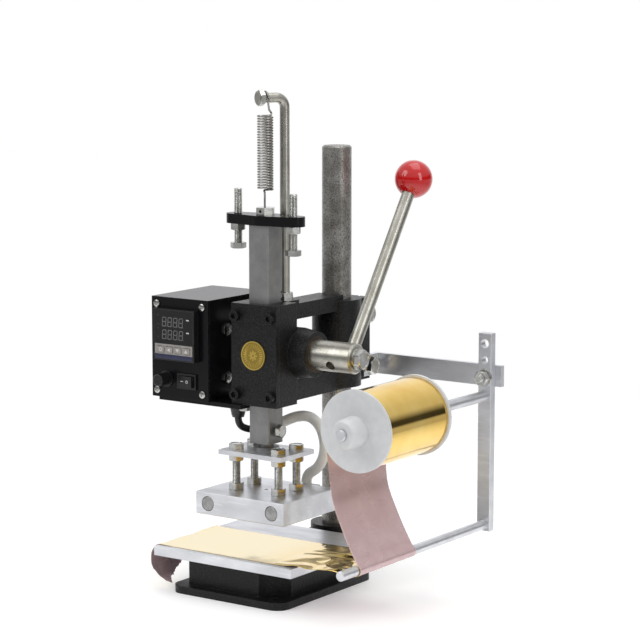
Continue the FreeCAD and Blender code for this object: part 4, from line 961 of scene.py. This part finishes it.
def web_line():
    """Side view of the web at rest, from the torn end to the roll, as (x, z) points close together."""
    around = [(GUIDE_X + GUIDE_CLEAR * math.cos(a), GUIDE_Z + GUIDE_CLEAR * math.sin(a))
              for a in (math.radians(degrees) for degrees in range(-90, 31, 12))]
    rough = [(-71.0, 4.5), (-76.5, 7.0), (-82.0, 12.0), (-86.0, 19.0), (-87.5, 27.0), (-86.0, 35.5),
             (-82.5, 41.0), (-79.0, 43.6), (-75.0, 43.5), (-60.0, FLAT_Z), (0.0, FLAT_Z), (60.0, FLAT_Z),
             (78.0, 43.3), (90.0, 43.4), (112.0, 44.4), (132.0, 45.0), *around, (143.0, 57.0), (137.0, 66.0),
             (127.0, 84.0), (115.0, 108.0), (110.0, 140.0), (107.6, 160.0), (107.2, 172.0)]
    fine = [Vector(rough[0])]
    for before, after in zip(rough, rough[1:]):
        before, after = Vector(before), Vector(after)
        count = max(1, round((after - before).length / WEB_STEP))
        fine += [before.lerp(after, step / count) for step in range(1, count + 1)]
    # Three passes smooth the whole line, and the others only the free rise to the roll.
    all_passes, passes, rise_z = 3, 60, 60
    for turn in range(passes):
        inner = [b if turn >= all_passes and b.y < rise_z else (a + b * 2 + c) / 4
                 for a, b, c in zip(fine, fine[1:], fine[2:])]
        fine = [fine[0]] + inner + [fine[-1]]
    return fine


def web_lift(x, z, y):
    """How far a wrinkle lifts the web off its line at rest: hanging part, torn end, then the table."""
    if z > 60:
        lift = 1.1 * noise.noise(Vector((y / 40, z / 45, 3.1)))
        return lift * smooth(z, 62, 90) * (1 - smooth(z, 140, 165))
    if x < -77:
        return 1.2 * noise.noise(Vector((y / 16, z / 12, 8.0)))
    drift = noise.noise(Vector((x / 46, y / 38, 1.7)))
    folds = 0.5 + 0.5 * math.sin(2 * math.pi * (y / 21 + 1.5 * drift + x / 95))
    soft = 0.5 + 0.5 * noise.noise(Vector((x / 21, y / 15, 5.2)))
    strong = smooth(x, 30, 100) * (1 - 0.9 * smooth(x, 126, 138))
    under_block = 1 - smooth(x, 52, 60)
    quiet = 0.04 * (1 + noise.noise(Vector((x / 26, y / 30, 0.3))))
    room = 0.04 + 9.0 * (1 - under_block)
    return quiet + min(strong * (3.0 * folds ** 1.5 * soft + 1.3 * soft), room)


# How much of the hanging length is left at each place across the web, from its front edge.
TORN_END = [(-58, 0.52), (-52, 0.80), (-46, 1.0), (-41, 0.86), (-34, 0.80), (-26, 0.70), (-14, 0.60), (4, 0.56),
            (31, 0.5)]


def kept_share(y):
    """Share of the hanging length that is left at y, with a ragged edge."""
    for (y0, a), (y1, b) in zip(TORN_END, TORN_END[1:]):
        if y <= y1:
            share = a + (b - a) * (y - y0) / (y1 - y0)
            break
    ragged = 0.05 * noise.noise(Vector((y / 5, 4.0, 0))) + 0.025 * noise.noise(Vector((y / 1.4, 9.0, 0)))
    return min(1.0, max(0.1, share + ragged))


def point_at(line, lengths, wanted):
    """The point of the line at a length from its start."""
    nearest = min(range(len(lengths)), key=lambda index: abs(lengths[index] - wanted))
    after = min(nearest + 1, len(line) - 1)
    span = max(1e-6, lengths[after] - lengths[nearest])
    return line[nearest].lerp(line[after], (wanted - lengths[nearest]) / span)


def make_web():
    """One strip of foil: torn end, table, guide rod and up to the roll."""
    line = web_line()
    lengths = [0.0]
    for before, after in zip(line, line[1:]):
        lengths.append(lengths[-1] + (after - before).length)
    hang = next(length for length, p in zip(lengths, line) if p.x > HANG_X and p.y > HANG_Z)
    mesh = bmesh.new()
    rows = []
    for index, point in enumerate(line):
        before, after = line[max(0, index - 1)], line[min(len(line) - 1, index + 1)]
        along = (after - before).normalized()
        out = Vector((-along.y, along.x))
        row = []
        for column in range(WEB_COLUMNS + 1):
            y = WEB_FRONT + WEB_WIDTH * column / WEB_COLUMNS
            place = point
            if lengths[index] < hang:
                start = hang * (1 - kept_share(y))
                place = point_at(line, lengths, start + (hang - start) * lengths[index] / hang)
            lift = web_lift(place.x, place.y, y)
            skew = -4.5 * (1 - smooth(place.y, 60, 150))    # the lower part sits further forward than the roll
            row.append(mesh.verts.new((place.x + out.x * lift, y + skew, place.y + out.y * lift)))
        rows.append(row)
    for low, high in zip(rows, rows[1:]):
        for column in range(WEB_COLUMNS):
            mesh.faces.new((low[column], low[column + 1], high[column + 1], high[column]))
    obj = finish_mesh(mesh, "foil_web", [foil_back().material, web_gold_painted_glare().material], 60.0)
    film = obj.modifiers.new("film", "SOLIDIFY")
    film.thickness, film.offset, film.material_offset, film.material_offset_rim = FILM_THICK * MM, 0.0, 1, 1
    bpy.context.view_layer.update()
    solid = bpy.data.meshes.new_from_object(obj.evaluated_get(bpy.context.evaluated_depsgraph_get()))
    obj.modifiers.clear()
    obj.data = solid
    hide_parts("foil_on_table", "foil_feed")
    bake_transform(obj)


make_ram_bolts()
make_head_bolts()
make_box_screws()
make_ball()
make_emblem()
make_digits()
make_key_strip()
make_key_marks()
make_rocker_marks()
make_fuse_cap()
make_web()


# ---- studio
def make_floor():
    """Plain pale floor that fades out round the object."""
    mesh = bmesh.new()
    bmesh.ops.create_grid(mesh, x_segments=8, y_segments=8, size=6.0)
    look = Look("pale_floor")
    look.colour(look.ramp(look.noise(60.0, 2.0), grey(0.90), grey(0.92), 0.35, 0.65))
    look.set(Roughness=0.7, Specular_IOR_Level=0.2, Emission_Color=(1, 1, 1, 1), Emission_Strength=0.22)
    distance = look.node("ShaderNodeVectorMath", operation="LENGTH")
    look.link(look.place, distance.inputs[0])
    fade_start, fade_end = 0.35, 1.1
    fade = look.ramp(distance.outputs["Value"], 0.0, 1.0, fade_start, fade_end)
    clear, mixed = look.node("ShaderNodeBsdfTransparent"), look.node("ShaderNodeMixShader")
    look.link(fade, mixed.inputs[0])
    look.link(look.shader.outputs[0], mixed.inputs[1])
    look.link(clear.outputs[0], mixed.inputs[2])
    look.link(mixed.outputs[0], look.tree.nodes["Material Output"].inputs["Surface"])
    obj = finish_mesh(mesh, "studio_floor", [look.material], scale=1.0)
    obj.location.z = cad_low.z


def area_light(name, place, target, size, power):
    """Rectangular light that faces the target."""
    data = bpy.data.lights.new(name, "AREA")
    data.shape = "RECTANGLE"
    data.size, data.size_y = size
    data.energy = power
    light = bpy.data.objects.new(name, data)
    light.location = place
    light.rotation_euler = (Vector(target) - Vector(place)).to_track_quat("-Z", "Y").to_euler()
    bpy.context.scene.collection.objects.link(light)


# Height in the tent, from below (0) to above (1), and its grey: a dark band lies just above the horizon.
TENT_GREYS = [(0.0, 0.55), (0.485, 0.50), (0.505, 0.035), (0.57, 0.05), (0.66, 0.60), (1.0, 0.85)]
BRIGHT_WALL = (-0.574, 0.819, 0.0)


def make_world():
    """Soft tent: white to the camera, with a darker horizon in reflections so that metal shows its shape."""
    world = bpy.data.worlds.new("studio_tent")
    world.use_nodes = True
    bpy.context.scene.world = world
    nodes, links = world.node_tree.nodes, world.node_tree.links
    nodes.clear()
    place, split = nodes.new("ShaderNodeTexCoord"), nodes.new("ShaderNodeSeparateXYZ")
    links.new(place.outputs["Generated"], split.inputs[0])
    height, greys = nodes.new("ShaderNodeMapRange"), nodes.new("ShaderNodeValToRGB")
    height.inputs["From Min"].default_value = -1.0
    links.new(split.outputs["Z"], height.inputs["Value"])
    links.new(height.outputs[0], greys.inputs[0])
    for position, _ in TENT_GREYS[1:-1]:
        greys.color_ramp.elements.new(position)
    for element, (position, value) in zip(greys.color_ramp.elements, TENT_GREYS):
        element.position = position
        element.color = (*grey(value), 1)
    toward, wall = nodes.new("ShaderNodeVectorMath"), nodes.new("ShaderNodeMapRange")
    toward.operation = "DOT_PRODUCT"
    toward.inputs[1].default_value = BRIGHT_WALL
    links.new(place.outputs["Generated"], toward.inputs[0])
    wall.inputs["From Min"].default_value, wall.inputs["From Max"].default_value = 0.5, 0.85
    links.new(toward.outputs["Value"], wall.inputs["Value"])
    tent = nodes.new("ShaderNodeMix")
    tent.data_type = "RGBA"
    tent.inputs[7].default_value = (1.0, 1.0, 1.02, 1)
    links.new(wall.outputs[0], tent.inputs["Factor"])
    links.new(greys.outputs[0], tent.inputs[6])
    reflected, seen = nodes.new("ShaderNodeBackground"), nodes.new("ShaderNodeBackground")
    links.new(tent.outputs[2], reflected.inputs["Color"])
    seen.inputs["Color"].default_value = (1, 1, 1, 1)
    mix, path = nodes.new("ShaderNodeMixShader"), nodes.new("ShaderNodeLightPath")
    links.new(path.outputs["Is Camera Ray"], mix.inputs[0])
    links.new(reflected.outputs[0], mix.inputs[1])
    links.new(seen.outputs[0], mix.inputs[2])
    links.new(mix.outputs[0], nodes.new("ShaderNodeOutputWorld").inputs["Surface"])


make_floor()
make_world()
centre = (cad_low + cad_high) / 2
area_light("key_softbox", (-1.0, -1.5, 1.6), centre, (1.2, 1.2), 13)
area_light("right_strip", (1.7, -0.3, 0.9), centre, (0.5, 1.4), 6)
area_light("top_softbox", (0.2, 0.3, 2.0), centre, (1.6, 1.2), 9)
bpy.context.scene.view_settings.view_transform = "Standard"
bpy.context.scene.view_settings.look = "None"
